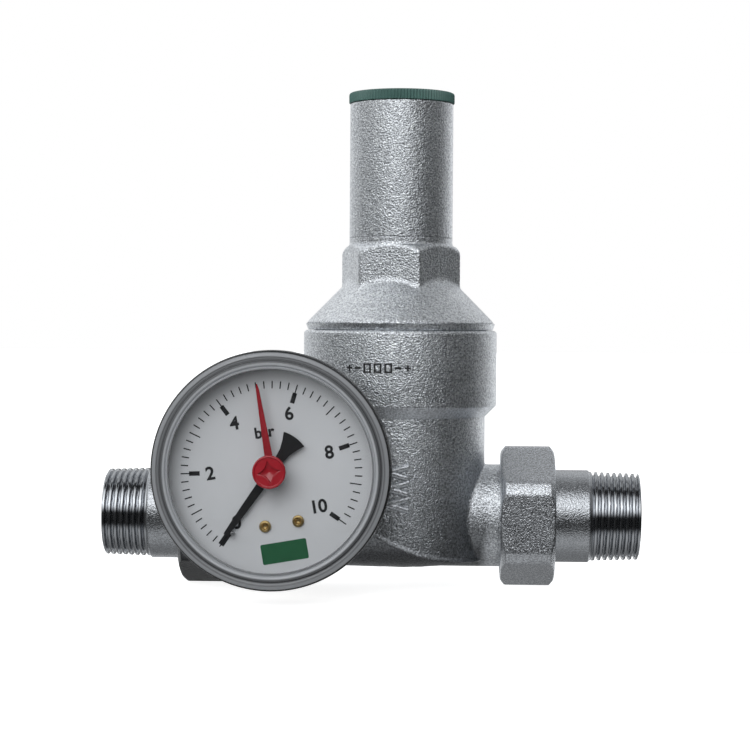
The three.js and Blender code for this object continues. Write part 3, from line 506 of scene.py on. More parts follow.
def spigot_field(x, y, z, end):
    """The neck of one side with its relief ring and its helical union thread."""
    b, u = BODY, UNIONS[end]
    along, radial = x * u.side, np.hypot(y, z)
    start, finish = u.nut[0] + 1.6, u.spigot
    phase = (along / b.thread_pitch + np.arctan2(z, y) / TAU) % 1
    groove = b.thread_depth * np.abs(2 * phase - 1)
    thread = capped(radial - b.thread_r + groove * 0.8, start - along, along - finish, 0.4)
    relief = rod(radial, along, b.relief_r, 5.0, start + 0.5, 0.3)
    neck = rod(radial, along, b.neck_r, 0.0, u.nut[0] - 1.6, 0.3)
    return np.minimum(smooth_union(neck, relief, 0.8), thread)


def chevron_field(x, y, z):
    """Three half-round chevrons on the front of the barrel that point along the flow."""
    c = CHEVRONS
    up = np.min([np.abs(z - height) for height in c.heights], axis=0)
    across = np.abs(up - (x - c.tip) * c.half / (c.end - c.tip)) * 0.9
    arms = np.hypot(across, np.hypot(x, y) - BODY.barrel_r) - c.thick
    return capped(arms, c.tip - 0.8 - x, x - c.end, 0.3)


# The bore under the bell as radius and the height where it starts, then the slanted water passages
# as start and end in X and Z, and radius.
BORE_STEPS = ((6.0, -12.5), (11.0, -6.0), (12.7, -3.3), (17.5, 7.0), (BODY.thread_bore, 28.0))
PASSAGES = (((25.0, 4.0), (11.0, 19.0), 7.0), ((-21.0, -3.0), (-3.0, -7.5), 5.0))


def passage_field(x, y, z, start, end, radius):
    length = math.dist(start, end)
    turn = math.atan2(end[1] - start[1], end[0] - start[0])
    along = (x - start[0]) * math.cos(turn) + (z - start[1]) * math.sin(turn)
    aside = (z - start[1]) * math.cos(turn) - (x - start[0]) * math.sin(turn)
    return rod(np.hypot(aside, y), along, radius, 0.0, length, 0.2)


def body_outside(x, y, z):
    """The casting below the collar before its bores."""
    b = BODY
    r_tower, r_pipe = np.hypot(x, y), np.hypot(y, z)
    under = np.hypot(x - b.arc_x, z - b.arc_z) - b.arc_r
    barrel = rod(r_tower, z, b.barrel_r, -30.0, b.barrel_top + 1.2, 0.3)
    barrel = smooth_cut(barrel, -under, 0.6)
    outline = np.array(BELLY)[::-1]
    belly = (r_pipe - np.interp(x, outline[:, 0], outline[:, 1])) * 0.96
    belly = capped(belly, outline[0, 0] - x, x - outline[-1, 0], 1.2)
    foot_edge = np.hypot(r_tower - b.barrel_r, under) - b.foot_edge_r
    foot_edge = np.maximum(foot_edge, x - b.foot_edge_end)
    spigots = np.minimum(spigot_field(x, y, z, "inlet"), spigot_field(x, y, z, "outlet"))
    boss = rod(np.hypot(x - GAUGE.port_x, z), -y, b.boss_r, 0.0, b.boss_face, 0.6)
    whole = smooth_union(barrel, belly, 0.8)
    whole = smooth_union(whole, foot_edge, 0.4)
    whole = smooth_union(whole, spigots, 0.9)
    return smooth_union(whole, boss, 2.0)


def body_field(x, y, z):
    """The casting below the collar with its bore, its ducts and passages and the gauge port."""
    b = BODY
    port = rod(np.hypot(x - GAUGE.port_x, z), -y, b.port_r, b.port_floor, 40.0, 0.2)
    tools = [rod(np.hypot(x, y), z, radius, low, 60.0, 0.2) for radius, low in BORE_STEPS] + [port]
    for u in UNIONS.values():
        tools.append(rod(np.hypot(y, z), x * u.side, b.duct_r, b.duct_start, u.spigot + 20, 0.2))
    tools += [passage_field(x, y, z, *passage) for passage in PASSAGES]
    return smooth_cut(body_outside(x, y, z), np.min(tools, axis=0), 0.3)


def add_collar(materials):
    """The turned collar above the barrel, and the bright chamfer under it."""
    b = BODY
    low, high, seam, bore = b.collar_low, b.collar_top, b.barrel_top, b.thread_bore + 0.1
    outline = [
        (bore, seam), (b.barrel_r - 0.3, seam, 0), (b.barrel_r + 0.1, seam + 0.05), (b.collar_r, low, 0.4),
        (b.collar_r, high - 0.7), (b.collar_r - 0.7, high), (b.bell_bore, high),
        (b.bell_bore, b.bell_seat), (b.collar_bore, b.bell_seat),
        (b.collar_bore, b.collar_step), (bore, b.collar_step),
    ]
    chamfer = [
        (25.0, seam - 0.1), (25.5, seam), (b.collar_r, low - 0.05, 0.15), (b.collar_r - 0.5, low + 0.1),
        (25.0, low),
    ]
    points, faces = lathe(rounded(chamfer, 0.1), 192)
    # The chamfer's nickel has its own brightness, painted light and shade.
    make_object("collar_chamfer", points, faces, materials.worn_nickel, "valve", (), 40)
    points, faces = lathe(rounded(outline, 0.3), 192)
    make_object("valve_collar", points, faces, materials.blasted_nickel, "valve",
                ("body_casting",), 50)


BELL = Table(
    skirt_r=25.5, skirt_low=44.6, flange_r=28.2, flange_low=55.1, flange_foot_r=27.5, seam_low=57.0,
    cone_r=27.0, cone_low=58.2, cone_top=70.0, hex=31.4, hex_corner=19.2, hex_top=80.0, crown_r=16.2,
    seam_high=82.5, tower_r=15.35, top=122.3, inner_r=22.0, inner_top=56.0, bore_r=14.0, bore_top=106.9,
    pocket_r=11.0, pocket_low=110.0, screw_r=5.3,
)


def bell_hollow(r, z):
    """The room for the spring: a wide bore, a cone above it and the bore of the tower."""
    b = BELL
    cone = (r - b.inner_r + (z - b.inner_top) * 0.88) * 0.75
    cone = np.maximum(np.maximum(cone, b.inner_top - 1.0 - z), z - 66)
    wide = rod(r, z, b.inner_r, 20.0, b.inner_top, 0.3)
    return np.minimum(np.minimum(wide, cone), rod(r, z, b.bore_r, 60.0, b.bore_top, 0.3))


def bell_field(x, y, z):
    """The cone and the hexagon of the spring housing, between two flat seams."""
    b = BELL
    r = np.hypot(x, y)
    slope = (b.cone_r - b.tower_r) / (b.cone_top - b.cone_low)
    cone = (r - b.cone_r + (z - b.cone_low) * slope) / math.hypot(1, slope)
    cone = smooth_cut(r - b.flange_r, -cone, 1.2)
    # the corner angle is measured from -Y towards +X
    hexagon = hexagon_distance(-y, x, b.hex, b.hex_corner, 0.8)
    crown = (r - b.crown_r + (z - b.hex_top) * 1.1) * 0.67
    hexagon = smooth_cut(smooth_cut(hexagon, -crown, 0.8), b.hex_top - z, 0.6)
    whole = smooth_union(cone, np.maximum(hexagon, 58.0 - z), 0.9)
    whole = smooth_union(whole, r - b.tower_r, 0.8)
    whole = smooth_cut(whole, bell_hollow(r, z), 0.25)
    return np.maximum(whole, np.maximum(b.seam_low - z, z - b.seam_high))


def add_bell_ends(materials):
    """The turned flange with its skirt below the cone, and the tower above the hexagon."""
    b = BELL
    flange = [
        (b.inner_r, b.skirt_low), (b.skirt_r, b.skirt_low), (b.skirt_r, b.flange_low),
        (b.flange_foot_r, b.flange_low), (b.flange_r, b.seam_low, 0),
        (b.inner_r - 1.0, b.seam_low, 0), (b.inner_r, b.inner_top),
    ]
    tower = [
        (b.bore_r, b.seam_high, 0), (b.tower_r, b.seam_high, 0), (b.tower_r, b.top, 0.5),
        (b.pocket_r, b.top), (b.pocket_r, b.pocket_low), (b.screw_r, b.pocket_low),
        (b.screw_r, b.bore_top), (b.bore_r, b.bore_top),
    ]
    for name, outline in (("housing_flange", flange), ("housing_tower", tower)):
        points, faces = lathe(rounded(outline, 0.3), 192)
        make_object(name, points, faces, materials.blasted_nickel, "valve",
                    ("bell_housing",), 50)


NUT = Table(
    flats=37.7, corner=27.5, corner_round=4.6, turned_r=20.75, chamfer_r=19.0, chamfer=1.4,
    thread_r=16.9, pitch=2.309, depth=0.9, hole_r=14.0, shoulder=2.3,
)


def nut_field(end):
    u = UNIONS[end]
    low, high = u.nut

    def field(x, y, z):
        along, r = x * u.side, np.hypot(y, z)
        flats = hexagon_distance(-y, z, NUT.flats, NUT.corner, NUT.corner_round)
        slope = (NUT.turned_r - NUT.chamfer_r) / NUT.chamfer
        ends = np.minimum(along - low, high - along)
        turned = (r - NUT.chamfer_r - ends * slope) / math.hypot(1, slope)
        turned = np.maximum(turned, r - NUT.turned_r)
        outside = smooth_cut(smooth_cut(flats, -turned, 0.25), ends, 0.4)
        phase = (along / NUT.pitch + np.arctan2(z, y) / TAU) % 1
        thread = r - NUT.thread_r - NUT.depth * np.abs(2 * phase - 1)
        mouth = np.maximum(thread * 0.8, along - high + NUT.shoulder)
        hole = r - NUT.hole_r - np.maximum(along - high + 0.8, 0)
        return smooth_cut(smooth_cut(outside, mouth, 0.2), hole, 0.4)

    return field


def add_castings(materials):
    m, slot = materials, "blasted_nickel"
    field_object("valve_body", body_field, (-59, -27.2, -18.2), (41, 27.2, 31.5), 0.48, m.body_nickel,
                 "valve", ("body_casting",))
    # The chevrons' nickel has its own brightness, painted light and shade.
    field_object("flow_chevrons", chevron_field, (-4.4, -27.4, 1.6), (4.8, -23.0, 17.6), 0.16,
                 m.worn_nickel, "valve")
    field_object("housing_hexagon", bell_field, (-29.4, -29.4, 56.2), (29.4, 29.4, 83.4), 0.42,
                 m.blasted_nickel, "valve", ("bell_housing",))
    # The outlet nut's nickel carries painted shade low down, for the gauge's shadow.
    for end, material in (("inlet", m.union_nickel), ("outlet", m.dull_nickel)):
        u = UNIONS[end]
        low, high = sorted((u.side * (u.nut[0] - 1), u.side * (u.nut[1] + 1)))
        field_object(f"{end}_nut", nut_field(end), (low, -22.2, -22.2), (high, 22.2, 22.2), 0.36,
                     material, f"{end}_nut", (f"{end}_union_nut",))


# ---- tailpieces ----
TAIL = Table(
    bore=9.5, flange_r=16.3, flange=2.1, shank_r=13.7, thread_r=13.22, depth=1.16, pitch=1.814,
    taper=1 / 32, end_r=12.5,
)


def tail_radius(u):
    """The thread of one tail: a helix on a taper, fading in over its first turn."""
    def radius_of(radius, along, angle):
        distance = along * u.side
        phase = (distance / TAIL.pitch + u.side * angle / TAU) % 1
        tooth = np.clip(1.75 - 4.17 * np.abs(phase - 0.5), 0.0, 1.0)
        crest = TAIL.thread_r - TAIL.taper * (distance - u.shank)
        fade = np.clip((distance - u.shank - 0.4) / (0.6 * TAIL.pitch), 0, 1)
        thread = crest - TAIL.depth * (1 - tooth) * fade
        lead = TAIL.end_r + (u.face - distance) * 0.95
        on_thread = (radius > TAIL.bore + 1) & (distance > u.shank + 0.2)
        return np.where(on_thread, np.minimum(np.minimum(thread, lead), radius), radius)
    return radius_of


def shank_outline(u):
    """The smooth part of one tail, from the flange inside the nut to the thread."""
    t = TAIL
    flange_end = u.nut[1] - NUT.shoulder - 0.3
    return rounded([
        (t.bore, flange_end - t.flange), (t.flange_r, flange_end - t.flange), (t.flange_r, flange_end),
        (t.shank_r, flange_end), (t.shank_r, u.shank, 0.5), (t.thread_r - 0.4, u.shank + 0.3, 0),
        (t.bore, u.shank + 0.3, 0),
    ], 0.35)


def thread_outline(u):
    """The threaded part of one tail before its thread is cut, with a row every 0.1 mm."""
    t = TAIL
    rows = int((u.face - u.shank) / 0.1)
    return [
        (t.bore, u.shank + 0.3), (t.thread_r - 1.2, u.shank + 0.1),
        *((t.thread_r + 0.1, u.shank + 0.1 + 0.1 * k) for k in range(rows)),
        (t.end_r, u.face - 0.04), (t.end_r - 0.15, u.face), (t.bore + 0.5, u.face), (t.bore, u.face - 0.5),
    ]


def add_tails(materials):
    m = materials
    for end, u in UNIONS.items():
        for part, outline, material, shape in (
                ("shank", shank_outline(u), m.shank_nickel, None),
                ("thread", thread_outline(u), m.polished_nickel, tail_radius(u))):
            points, faces = lathe([(r, u.side * x) for r, x in outline], 160, "X", shape)
            make_object(f"{end}_tail_{part}", points, faces, material, f"{end}_tail",
                        (f"{end}_tailpiece",), 60)


# ---- adjuster cap ----
CAP = Table(
    radius=15.7, low=122.4, top=125.4, ribs=104, rib=0.45, plug_r=10.6, plug_inner=9.2, plug_low=115.5,
)


def add_cap(materials):
    c = CAP
    outline = rounded([
        (0.02, c.top - 0.15), (9.0, c.top - 0.1), (c.radius - 2.2, c.top - 0.1),
        (c.radius - 1.8, c.top), (c.radius, c.top, 0.7), (c.radius, c.low),
        (c.plug_r, c.low), (c.plug_r, c.plug_low), (c.plug_inner, c.plug_low),
        (c.plug_inner, c.top - 1.6), (0.02, c.top - 1.6),
    ], 0.3, steps=5)

    def ribbed(radius, _, angle):
        edge = np.clip((radius - c.radius + 0.35) / 0.3, 0, 1)
        wave = 0.5 - 0.5 * np.cos(angle * c.ribs)
        return radius - c.rib * wave ** 0.7 * edge

    points, faces = lathe(outline, c.ribs * 6, "Z", ribbed)
    make_object("green_cap", points, faces, materials.green_plastic, "cap",
                ("adjuster_cap",), 40)


# ---- gauge ----
def on_gauge(points, centre=(0.0, 0.0)):
    """Moves points (u right, v up, w towards the viewer) from the dial's axis into the frame."""
    p = np.asarray(points, float) + np.array([*centre, 0.0])
    u = p[:, 0] * math.cos(TILT) - p[:, 1] * math.sin(TILT)
    v = p[:, 0] * math.sin(TILT) + p[:, 1] * math.cos(TILT)
    return np.stack([GAUGE_CENTRE[0] + u, -p[:, 2], GAUGE_CENTRE[1] + v], 1)


def polar(radius, degrees):
    return radius * math.cos(math.radians(degrees)), radius * math.sin(math.radians(degrees))


def gauge_lathe(name, outline, segments, material, body="valve", replaces=(), centre=(0, 0)):
    points, faces = lathe(outline, segments)
    make_object(name, on_gauge(points, centre), faces, material, body, replaces, 35)


def plates(outlines, back, front):
    """Flat plates from a list of outlines, each a counter-clockwise list of (u, v)."""
    points, faces = [], []
    for outline in outlines:
        start, count = len(points), len(outline)
        points += [(u, v, back) for u, v in outline] + [(u, v, front) for u, v in outline]
        faces.append([start + i for i in reversed(range(count))])
        faces.append([start + count + i for i in range(count)])
        faces += [(start + i, start + (i + 1) % count, start + count + (i + 1) % count, start + count + i)
                  for i in range(count)]
    return points, faces


# Radii on the dial, and its scale: the angle of zero, the sweep in degrees and the last number.
DIAL = Table(
    zero=225.8, sweep=270.0, full=10, tick_out=25.1, minor=2.05, major=3.3, tick_half=0.165,
    bar_out=22.75, bar_in=19.8, bar_half=0.62, zero_half=0.85, number_r=16.9, number_high=3.75,
    unit_r=11.2, unit_high=3.2, print_back=51.02, print_front=51.06, print_centre=(-0.5, -0.65),
    pin=(20.6, 228.5), eyelet_r=15.8, eyelet_angles=(253, 287),
)
STEM = Table(
    thread_r=6.4, back=13.0, hex=14.0, chamfer_r=7.75, hex_back=25.0, hex_front=32.5,
    block_r=6.0, block_back=26.0, block_front=42.6,
)
MARK = Table(half_width=6.4, half_height=2.8, drop=22.2)
# Sections about an axis square to the dial, as radius and depth towards the viewer.
DIAL_PLATE = [(1.9, 50.5), (29.8, 50.5), (29.8, 51.0), (1.9, 51.0)]
STOP_PIN = [(0.02, 51.3), (0.5, 51.3), (0.5, 54.0), (0.02, 54.0)]
EYELET = [
    (0.02, 48.2), (0.8, 48.2), (0.8, 51.3), (1.65, 51.3), (1.6, 51.95), (0.95, 52.1), (0.6, 51.5),
    (0.02, 51.45),
]
CASE = [
    (0.02, 34.3), (30.1, 34.3, 1.0), (31.5, 35.7, 1.0), (31.5, 56.0), (30.3, 56.0), (30.3, 35.9, 0.6),
    (0.02, 35.9),
]
WINDOW_RIM = [
    (31.8, 57.0), (32.85, 57.3), (32.8, 58.1), (32.3, 58.8), (31.2, 59.3), (30.7, 59.0),
    (30.3, 58.9), (30.0, 59.5), (29.4, 59.8), (28.9, 59.7), (28.5, 58.9), (28.3, 58.8),
    (28.2, 59.6), (27.8, 59.8), (27.8, 58.2), (29.4, 57.3), (31.0, 57.0),
]
WINDOW_SKIRT = [(31.8, 51.5), (32.9, 51.5), (32.9, 57.1), (32.7, 57.2), (31.8, 56.9)]
WINDOW_PANE = [(3.5, 58.6), (27.7, 58.3), (27.7, 59.6), (3.5, 60.2)]


def dial_angle(value):
    return DIAL.zero - DIAL.sweep * value / DIAL.full


def stroke(degrees, inner, outer, half):
    """The outline of a radial bar on the dial, twice that half wide."""
    along = np.array(polar(1.0, degrees))
    side = np.array([-along[1], along[0]]) * half
    return [tuple(along * inner - side), tuple(along * outer - side),
            tuple(along * outer + side), tuple(along * inner + side)]


def scale_strokes():
    """The fine strokes, five to a unit, then the bars on even numbers and a longer one on zero."""
    d = DIAL
    strokes = []
    for k in range(d.full * 5 + 1):
        length = d.major if k % 5 == 0 else d.minor
        strokes.append(stroke(dial_angle(k / 5), d.tick_out - length, d.tick_out, d.tick_half))
    for value in range(2, d.full + 1, 2):
        strokes.append(stroke(dial_angle(value), d.bar_in, d.bar_out, d.bar_half))
    strokes.append(stroke(dial_angle(0), d.bar_in, d.tick_out - 0.6, d.zero_half))
    return strokes


def text_mesh(name, text, height):
    """Points in millimetres and faces of thin upright text, centred and that high."""
    curve = bpy.data.curves.new(name, "FONT")
    curve.body, curve.size = text, height * 1.38 * MM
    curve.align_x, curve.align_y = "CENTER", "CENTER"
    curve.extrude, curve.offset, curve.space_character = 0.02 * MM, 0.14 * MM, 0.96
    holder = bpy.data.objects.new(name, curve)
    bpy.context.scene.collection.objects.link(holder)
    bpy.context.view_layer.update()
    mesh = bpy.data.meshes.new_from_object(holder.evaluated_get(bpy.context.evaluated_depsgraph_get()))
    bpy.data.objects.remove(holder)
    points = np.array([v.co for v in mesh.vertices]) / MM
    faces = [tuple(p.vertices) for p in mesh.polygons]
    bpy.data.meshes.remove(mesh)
    low, top = points.min(0), points.max(0)
    points[:, :2] = (points[:, :2] - (low[:2] + top[:2]) / 2) * height / (top[1] - low[1])
    return points, faces


def print_text(name, text, height, centre, material):
    """Text on the dial as a thin raised mesh, centred there."""
    points, faces = text_mesh(name, text, height)
    points[:, 2] += DIAL.print_back + 0.02
    place = np.add(centre, DIAL.print_centre)
    make_object(name, on_gauge(points, place), faces, material, "valve")


def print_flat(name, outlines, material):
    """Thin flat shapes printed on the dial."""
    points, faces = plates(outlines, DIAL.print_back, DIAL.print_front)
    make_object(name, on_gauge(points, DIAL.print_centre), faces, material, "valve", (), 30)


def add_dial(materials):
    d, ink = DIAL, materials.print_black
    gauge_lathe("dial_plate", rounded(DIAL_PLATE, 0.1), 128, materials.dial_white,
                replaces=("gauge_dial",))
    print_flat("dial_scale", scale_strokes(), ink)
    for value in range(0, d.full + 1, 2):
        # the number with two digits sits a little further in
        radius = d.number_r - (0.6 if value == d.full else 0.0)
        print_text(f"dial_number_{value}", str(value), d.number_high, polar(radius, dial_angle(value)), ink)
    print_text("dial_unit", "bar", d.unit_high, (0.0, d.unit_r), ink)
    u, v = MARK.half_width, MARK.half_height
    mark = rounded([(-u, -v), (u, -v), (u, v), (-u, v)], 0.5)
    print_flat("dial_mark", [[(u, v - MARK.drop) for u, v in mark]], materials.print_green)
    for i, angle in enumerate(d.eyelet_angles):
        gauge_lathe(f"dial_eyelet_{i + 1}", rounded(EYELET, 0.2), 48, materials.brass,
                    replaces=(f"dial_screw_{i + 1}",), centre=polar(d.eyelet_r, angle))
    gauge_lathe("stop_pin", rounded(STOP_PIN, 0.15), 32, materials.steel,
                replaces=("dial_stop_pin",), centre=polar(*d.pin))


def add_case(materials):
    black, window = materials.black_plastic, ("gauge_window",)
    gauge_lathe("case", rounded(CASE, 0.25), 160, black, replaces=("gauge_case",))
    cut_round_hole(bpy.data.objects["case"], (0.0, -GAUGE.offset), STEM.thread_r, 30.0, 37.5)
    gauge_lathe("window_rim", rounded(WINDOW_RIM, 0.18), 192, materials.clear_rim,
                replaces=window)
    gauge_lathe("window_skirt", rounded(WINDOW_SKIRT, 0.1), 192, black, replaces=window)
    gauge_lathe("window_pane", rounded(WINDOW_PANE, 0.2), 128, materials.clear_plastic)


def cut_round_hole(piece, centre, radius, low, high):
    """Cuts a round hole through a gauge piece with an exact boolean."""
    points, faces = lathe([(0.02, low), (radius, low), (radius, high), (0.02, high)], 64)
    mesh = bpy.data.meshes.new("cutter")
    mesh.from_pydata((on_gauge(points, centre) * MM).tolist(), [], faces)
    cutter = bpy.data.objects.new("cutter", mesh)
    bpy.context.scene.collection.objects.link(cutter)
    modifier = piece.modifiers.new("hole", "BOOLEAN")
    modifier.object, modifier.operation, modifier.solver = cutter, "DIFFERENCE", "EXACT"
    bpy.context.view_layer.update()
    done = bpy.data.meshes.new_from_object(piece.evaluated_get(bpy.context.evaluated_depsgraph_get()))
    piece.modifiers.clear()
    piece.data = done
    done.set_sharp_from_angle(angle=math.radians(35))
    bpy.data.objects.remove(cutter)


def add_hand(name, outline, back, front, angle, material, body, replaces):
    """A flat hand with softened edges, turned to an angle about the dial's axis."""
    spin = math.radians(angle)
    turned = [(u * math.cos(spin) - v * math.sin(spin), u * math.sin(spin) + v * math.cos(spin))
              for u, v in outline]
    points, faces = plates([turned], back, front)
    make_object(name, on_gauge(points), faces, material, body, replaces, 30)
    modifier = bpy.data.objects[name].modifiers.new("edge", "BEVEL")
    modifier.width, modifier.segments, modifier.limit_method = 0.08 * MM, 2, "ANGLE"


# Each hand points along its own u at first: its edge on the +v side, from the tip.
POINTER_EDGE = [(22.0, 0.7), (14.0, 1.05), (3.0, 1.3), (-3.0, 1.2), (-6.0, 1.6), (-8.5, 2.5)]
POINTER_TAIL = Table(radius=11.0, half_angle=18.5)
POINTER_HUB = [(1.2, 52.3), (3.4, 52.3), (3.4, 54.1), (2.6, 54.4), (1.2, 54.4)]
MARKER_EDGE = [(24.0, 0.12), (22.5, 0.45), (3.0, 1.15)]
MARKER_HUB = [(2.3, 55.9), (3.9, 55.9), (3.9, 56.4), (2.3, 56.4)]
KNOB = Table(head_r=4.55, low=60.5, top=62.6, dish_r=4.0, star_r=3.5, shaft_r=3.1, spigot_r=2.0)


def add_pointer(materials):
    black, tail = materials.black_plastic, POINTER_TAIL
    fan = [polar(tail.radius, 180 + tail.half_angle * t) for t in np.linspace(-1, 1, 13)]
    outline = POINTER_EDGE + fan + [(u, -v) for u, v in POINTER_EDGE[::-1]]
    add_hand("pointer_blade", outline, 53.0, 53.45, 225, black, "pointer", ("pointer",))
    gauge_lathe("pointer_hub", rounded(POINTER_HUB, 0.2), 48, black, "pointer")


def knob_field(u, v, w):
    """The red knob: a dished head with a four-pointed hollow, a shaft and a spigot below."""
    k = KNOB
    r = np.hypot(u, v)
    head = rod(r, w, k.head_r, k.low, k.top, 0.45)
    dish = rod(r, w, k.dish_r, k.top - 0.35, k.top + 5, 0.15)
    star = (np.abs(u) + 0.02) ** 0.62 + (np.abs(v) + 0.02) ** 0.62 - k.star_r ** 0.62
    star = np.maximum(star * 1.2, k.top - 1.7 + 0.25 * r - w)
    shaft = rod(r, w, k.shaft_r, 56.7, k.low + 0.5, 0.2)
    spigot = rod(r, w, k.spigot_r, 55.5, 57.0, 0.2)
    whole = np.minimum(np.minimum(head, shaft), spigot)
    return smooth_cut(smooth_cut(whole, dish, 0.15), star, 0.15)


def add_marker(materials):
    red = materials.red_plastic
    outline = MARKER_EDGE + [(u, -v) for u, v in MARKER_EDGE[::-1]]
    add_hand("marker_blade", outline, 55.9, 56.4, 90, red, "marker", ("marker_hand",))
    gauge_lathe("marker_hub", rounded(MARKER_HUB, 0.12), 48, red, "marker")
    points, faces = surface_net(knob_field, (-5, -5, 55), (5, 5, 63.2), 0.14)
    make_object("marker_button", on_gauge(points), faces, red, "marker",
                ("marker_knob",), 45)


def stem_field(u, v, w):
    """The gauge's connector: a threaded shank, a hexagon and the block inside the case."""
    s = STEM
    r = np.hypot(u, v)
    hexagon = capped(hexagon_distance(u, v, s.hex, 0.0, 0.3), s.hex_back - w, w - s.hex_front, 0.2)
    past = np.maximum(s.hex_back + 0.8 - w, w - s.hex_front + 0.8)
    hexagon = smooth_cut(hexagon, -(r - s.chamfer_r + np.maximum(past, 0) * 1.2) * 0.8, 0.2)
    shank = rod(r, w, s.thread_r, s.back, s.block_back, 0.5)
    block = rod(r, w, s.block_r, s.block_back, s.block_front, 0.3)
    return np.minimum(np.minimum(hexagon, shank), block)


def add_stem(materials):
    points, faces = surface_net(stem_field, (-9, -9, 12), (9, 9, 43.6), 0.35)
    make_object("gauge_connector", on_gauge(points, (0, -GAUGE.offset)), faces, materials.brass,
                "valve", ("gauge_stem",), 45)


# ---- marks on the collar ----
# The row of marks: its middle along the collar from -Y towards +X, and its height. Each mark is a set
# of boxes given as low and high along the collar, then low and high above the row.
MARK_ROW = Table(middle=-5.6, height=44.2, columns=7)


def mark_boxes():
    boxes = []
    for x in (-8.7, 8.7):
        boxes += [(x - 0.9, x + 0.9, -0.25, 0.25), (x - 0.27, x + 0.27, -0.9, 0.9)]
    boxes += [(-7.0, -5.1, -0.3, 0.3), (5.0, 6.9, -0.3, 0.3)]
    for x in (-3.1, 0.0, 3.1):
        boxes += [(x - 1.15, x - 0.6, -1.4, 1.4), (x + 0.6, x + 1.15, -1.4, 1.4)]
        boxes += [(x - 0.6, x + 0.6, -1.4, -0.9), (x - 0.6, x + 0.6, 0.9, 1.4)]
    return boxes


def wrapped_box(box, start):
    """Points and faces of a thin box bent round the collar, with its points numbered from start."""
    x0, x1, z0, z1 = box
    radius, columns = BODY.collar_r + 0.02, MARK_ROW.columns
    points, faces = [], []
    for x in np.linspace(x0, x1, columns):
        angle = (x + MARK_ROW.middle) / radius
        for r in (radius, radius + 0.03):
            for z in (z0, z1):
                points.append((r * math.sin(angle), -r * math.cos(angle), MARK_ROW.height + z))
    for k in range(columns - 1):
        a, b = start + 4 * k, start + 4 * (k + 1)
        faces += [(a + 2, b + 2, b + 3, a + 3), (a, a + 1, b + 1, b), (a + 1, a + 3, b + 3, b + 1),
                  (a, b, b + 2, a + 2)]
    end = start + 4 * (columns - 1)
    return points, faces + [(start, start + 2, start + 3, start + 1), (end, end + 1, end + 3, end + 2)]


def add_collar_marks(materials):
    """Letterless ink marks wrapped on the collar: crosses, dashes and three small squares."""
    points, faces = [], []
    for box in mark_boxes():
        more_points, more_faces = wrapped_box(box, len(points))
        points += more_points
        faces += more_faces
    make_object("collar_marks", points, faces, materials.ink_black, "valve", (), 30)


# ---- studio ----
FLOOR_Z, FLOOR_HALF = -21.2, 6000.0


def add_floor():
    steps = (-FLOOR_HALF, 0.0, FLOOR_HALF)
    points = [(x * MM, y * MM, FLOOR_Z * MM) for y in steps for x in steps]
    faces = [(k, k + 1, k + 4, k + 3) for k in (0, 1, 3, 4)]
    mesh = bpy.data.meshes.new("floor")
    mesh.from_pydata(points, [], faces)
    floor = bpy.data.objects.new("floor", mesh)
    bpy.context.scene.collection.objects.link(floor)
    n = Nodes("floor_white")
    n.shade(color=n.ramp(n.noise(60.0, 3.0), (0.3, grey(0.86)), (0.7, grey(0.90))), roughness=0.9)
    n.shader.inputs["Emission Color"].default_value = (1, 1, 1, 1)
    n.shader.inputs["Emission Strength"].default_value = 0.85
    mesh.materials.append(n.material)
    floor.visible_glossy = floor.visible_diffuse = floor.visible_shadow = False


# Radiance of the room seen in reflections, from the floor up: (degrees from -Y towards +X, radiance).
FLOOR_GREY = [(-180, 0.25), (-90, 0.14), (-40, 0.45), (0, 0.62), (90, 0.25), (180, 0.25)]
NADIR = [(-180, 0.3), (-90, 0.3), (0, 0.5), (90, 0.35), (180, 0.3)]
LEVEL = [
    (-180, 0.5), (-160, 0.8), (-140, 0.9), (-122, 0.40), (-95, 0.14), (-50, 0.12), (-25, 0.04), (0, 0.03),
    (30, 0.02), (60, 0.02), (112, 0.04), (130, 0.4), (146, 1.2), (162, 1.2), (170, 0.2), (180, 0.3),
]
MIDDLE = [
    (-180, 0.7), (-125, 0.95), (-95, 0.85), (-50, 0.75), (-36, 1.1), (-26, 2.4), (11, 2.5), (24, 0.8),
    (45, 0.20), (100, 0.30), (135, 0.7), (180, 0.7),
]
HIGH = [
    (-180, 0.7), (-125, 1.1), (-85, 1.1), (-50, 0.8), (-30, 1.5), (0, 1.5), (24, 0.6), (45, 0.25),
    (100, 0.35), (135, 0.6), (180, 0.7),
]
ZENITH = [(-180, 0.25), (-140, 0.5), (-110, 0.65), (-65, 0.05), (65, 0.05), (110, 0.45), (180, 0.25)]


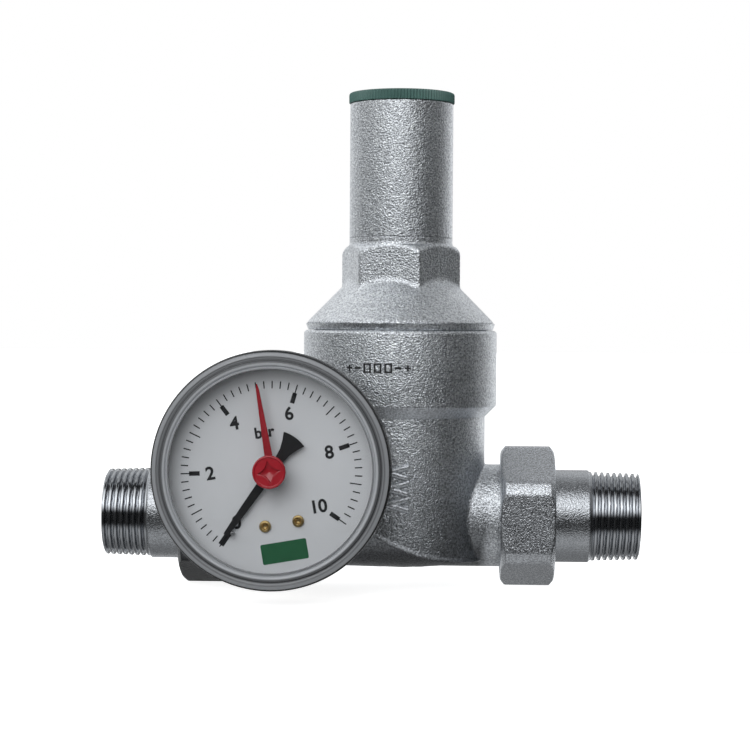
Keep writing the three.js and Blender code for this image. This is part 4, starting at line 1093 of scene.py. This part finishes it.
class World(Tree):
    """The world's node tree, with short calls for the room's radiance."""

    def __init__(self, name):
        self.world = bpy.data.worlds.new(name)
        self.world.use_nodes = True
        super().__init__(self.world.node_tree)
        self.tree.nodes.clear()
        direction = self.add("ShaderNodeTexCoord").outputs["Generated"]
        split = self.add("ShaderNodeSeparateXYZ", {"Vector": direction}).outputs
        back = self.math("MULTIPLY", split["Y"], -1.0)
        self.turn = self.degrees(self.math("ARCTAN2", split["X"], back))
        self.rise = self.degrees(self.math("ARCSINE", split["Z"], 0.0))

    def math(self, operation, a, b):
        return self.add("ShaderNodeMath", {0: a, 1: b}, operation=operation).outputs[0]

    def degrees(self, value):
        return self.math("MULTIPLY", value, 180 / math.pi)

    def round_table(self, table):
        """Radiance looked up by the turn about Z, scaled down by 4 to stay inside a ramp's range."""
        share = self.add("ShaderNodeMapRange", {"Value": self.turn, "From Min": -180.0, "From Max": 180.0})
        node = self.add("ShaderNodeValToRGB", {"Fac": share.outputs["Result"]})
        elements = node.color_ramp.elements
        while len(elements) < len(table):
            elements.new(0.5)
        for element, (angle, value) in zip(elements, table):
            element.position = (angle + 180) / 360
            element.color = (*grey(value / 4), 1)
        node.color_ramp.interpolation = "EASE"
        return self.math("MULTIPLY", node.outputs["Color"], 4.0)

    def blend(self, low, high, start, end):
        """Goes from low to high as the rise goes from start to end."""
        inputs = {"Value": self.rise, "From Min": float(start), "From Max": float(end)}
        share = self.add("ShaderNodeMapRange", inputs, interpolation_type="SMOOTHSTEP").outputs["Result"]
        rest = self.math("SUBTRACT", 1.0, share)
        return self.math("ADD", self.math("MULTIPLY", low, rest), self.math("MULTIPLY", high, share))


def add_world():
    """A white studio to the camera; in reflections a room with one large soft box above the front."""
    w = World("studio")
    room = w.blend(w.round_table(LEVEL), w.round_table(MIDDLE), 0, 30)
    room = w.blend(room, w.round_table(HIGH), 34, 56)
    room = w.blend(room, w.round_table(ZENITH), 54, 72)
    floor = w.blend(w.round_table(NADIR), w.round_table(FLOOR_GREY), -80, -62)
    room = w.blend(floor, room, -48, -27)
    seen = w.add("ShaderNodeBackground", {"Color": (1, 1, 1, 1), "Strength": 1.0})
    mirrored = w.add("ShaderNodeBackground", {"Color": (0.965, 0.985, 1.0, 1), "Strength": room})
    camera = w.add("ShaderNodeLightPath").outputs["Is Camera Ray"]
    mix = w.add("ShaderNodeMixShader", {0: camera, 1: mirrored.outputs[0], 2: seen.outputs[0]})
    w.add("ShaderNodeOutputWorld", {"Surface": mix.outputs[0]})
    bpy.context.scene.world = w.world


def add_light(name, place, aim, size, power):
    """A soft box that lights matt surfaces only and leaves no image of itself in the metal."""
    data = bpy.data.lights.new(name, "AREA")
    data.shape, data.size, data.size_y, data.energy = "RECTANGLE", size[0] * MM, size[1] * MM, power
    light = bpy.data.objects.new(name, data)
    light.visible_glossy = False
    place, aim = Vector(place) * MM, Vector(aim) * MM
    turn = (place - aim).to_track_quat("Z", "Y").to_matrix().to_4x4()
    light.matrix_world = Matrix.Translation(place) @ turn
    bpy.context.scene.collection.objects.link(light)


def add_studio():
    add_world()
    add_floor()
    add_light("front_fill", (-130, -760, 230), (-10, 0, 30), (420, 420), 2.1)


def finish_cad_nodes(materials):
    """Every CAD node that stays gets its slot's procedural material."""
    slots = {entry["node"]: entry["material_slot"] for entry in frame["record"]["subparts"]}
    for name, node in frame["nodes"].items():
        node.data.materials.clear()
        node.data.materials.append(getattr(materials, slots[name]))


add_camera()
add_studio()
MATERIALS = make_materials()
for build in (finish_cad_nodes, add_castings, add_collar, add_bell_ends, add_tails, add_cap, add_case,
              add_dial, add_pointer, add_marker, add_stem, add_collar_marks):
    build(MATERIALS)
bpy.context.scene.view_settings.view_transform = "Standard"
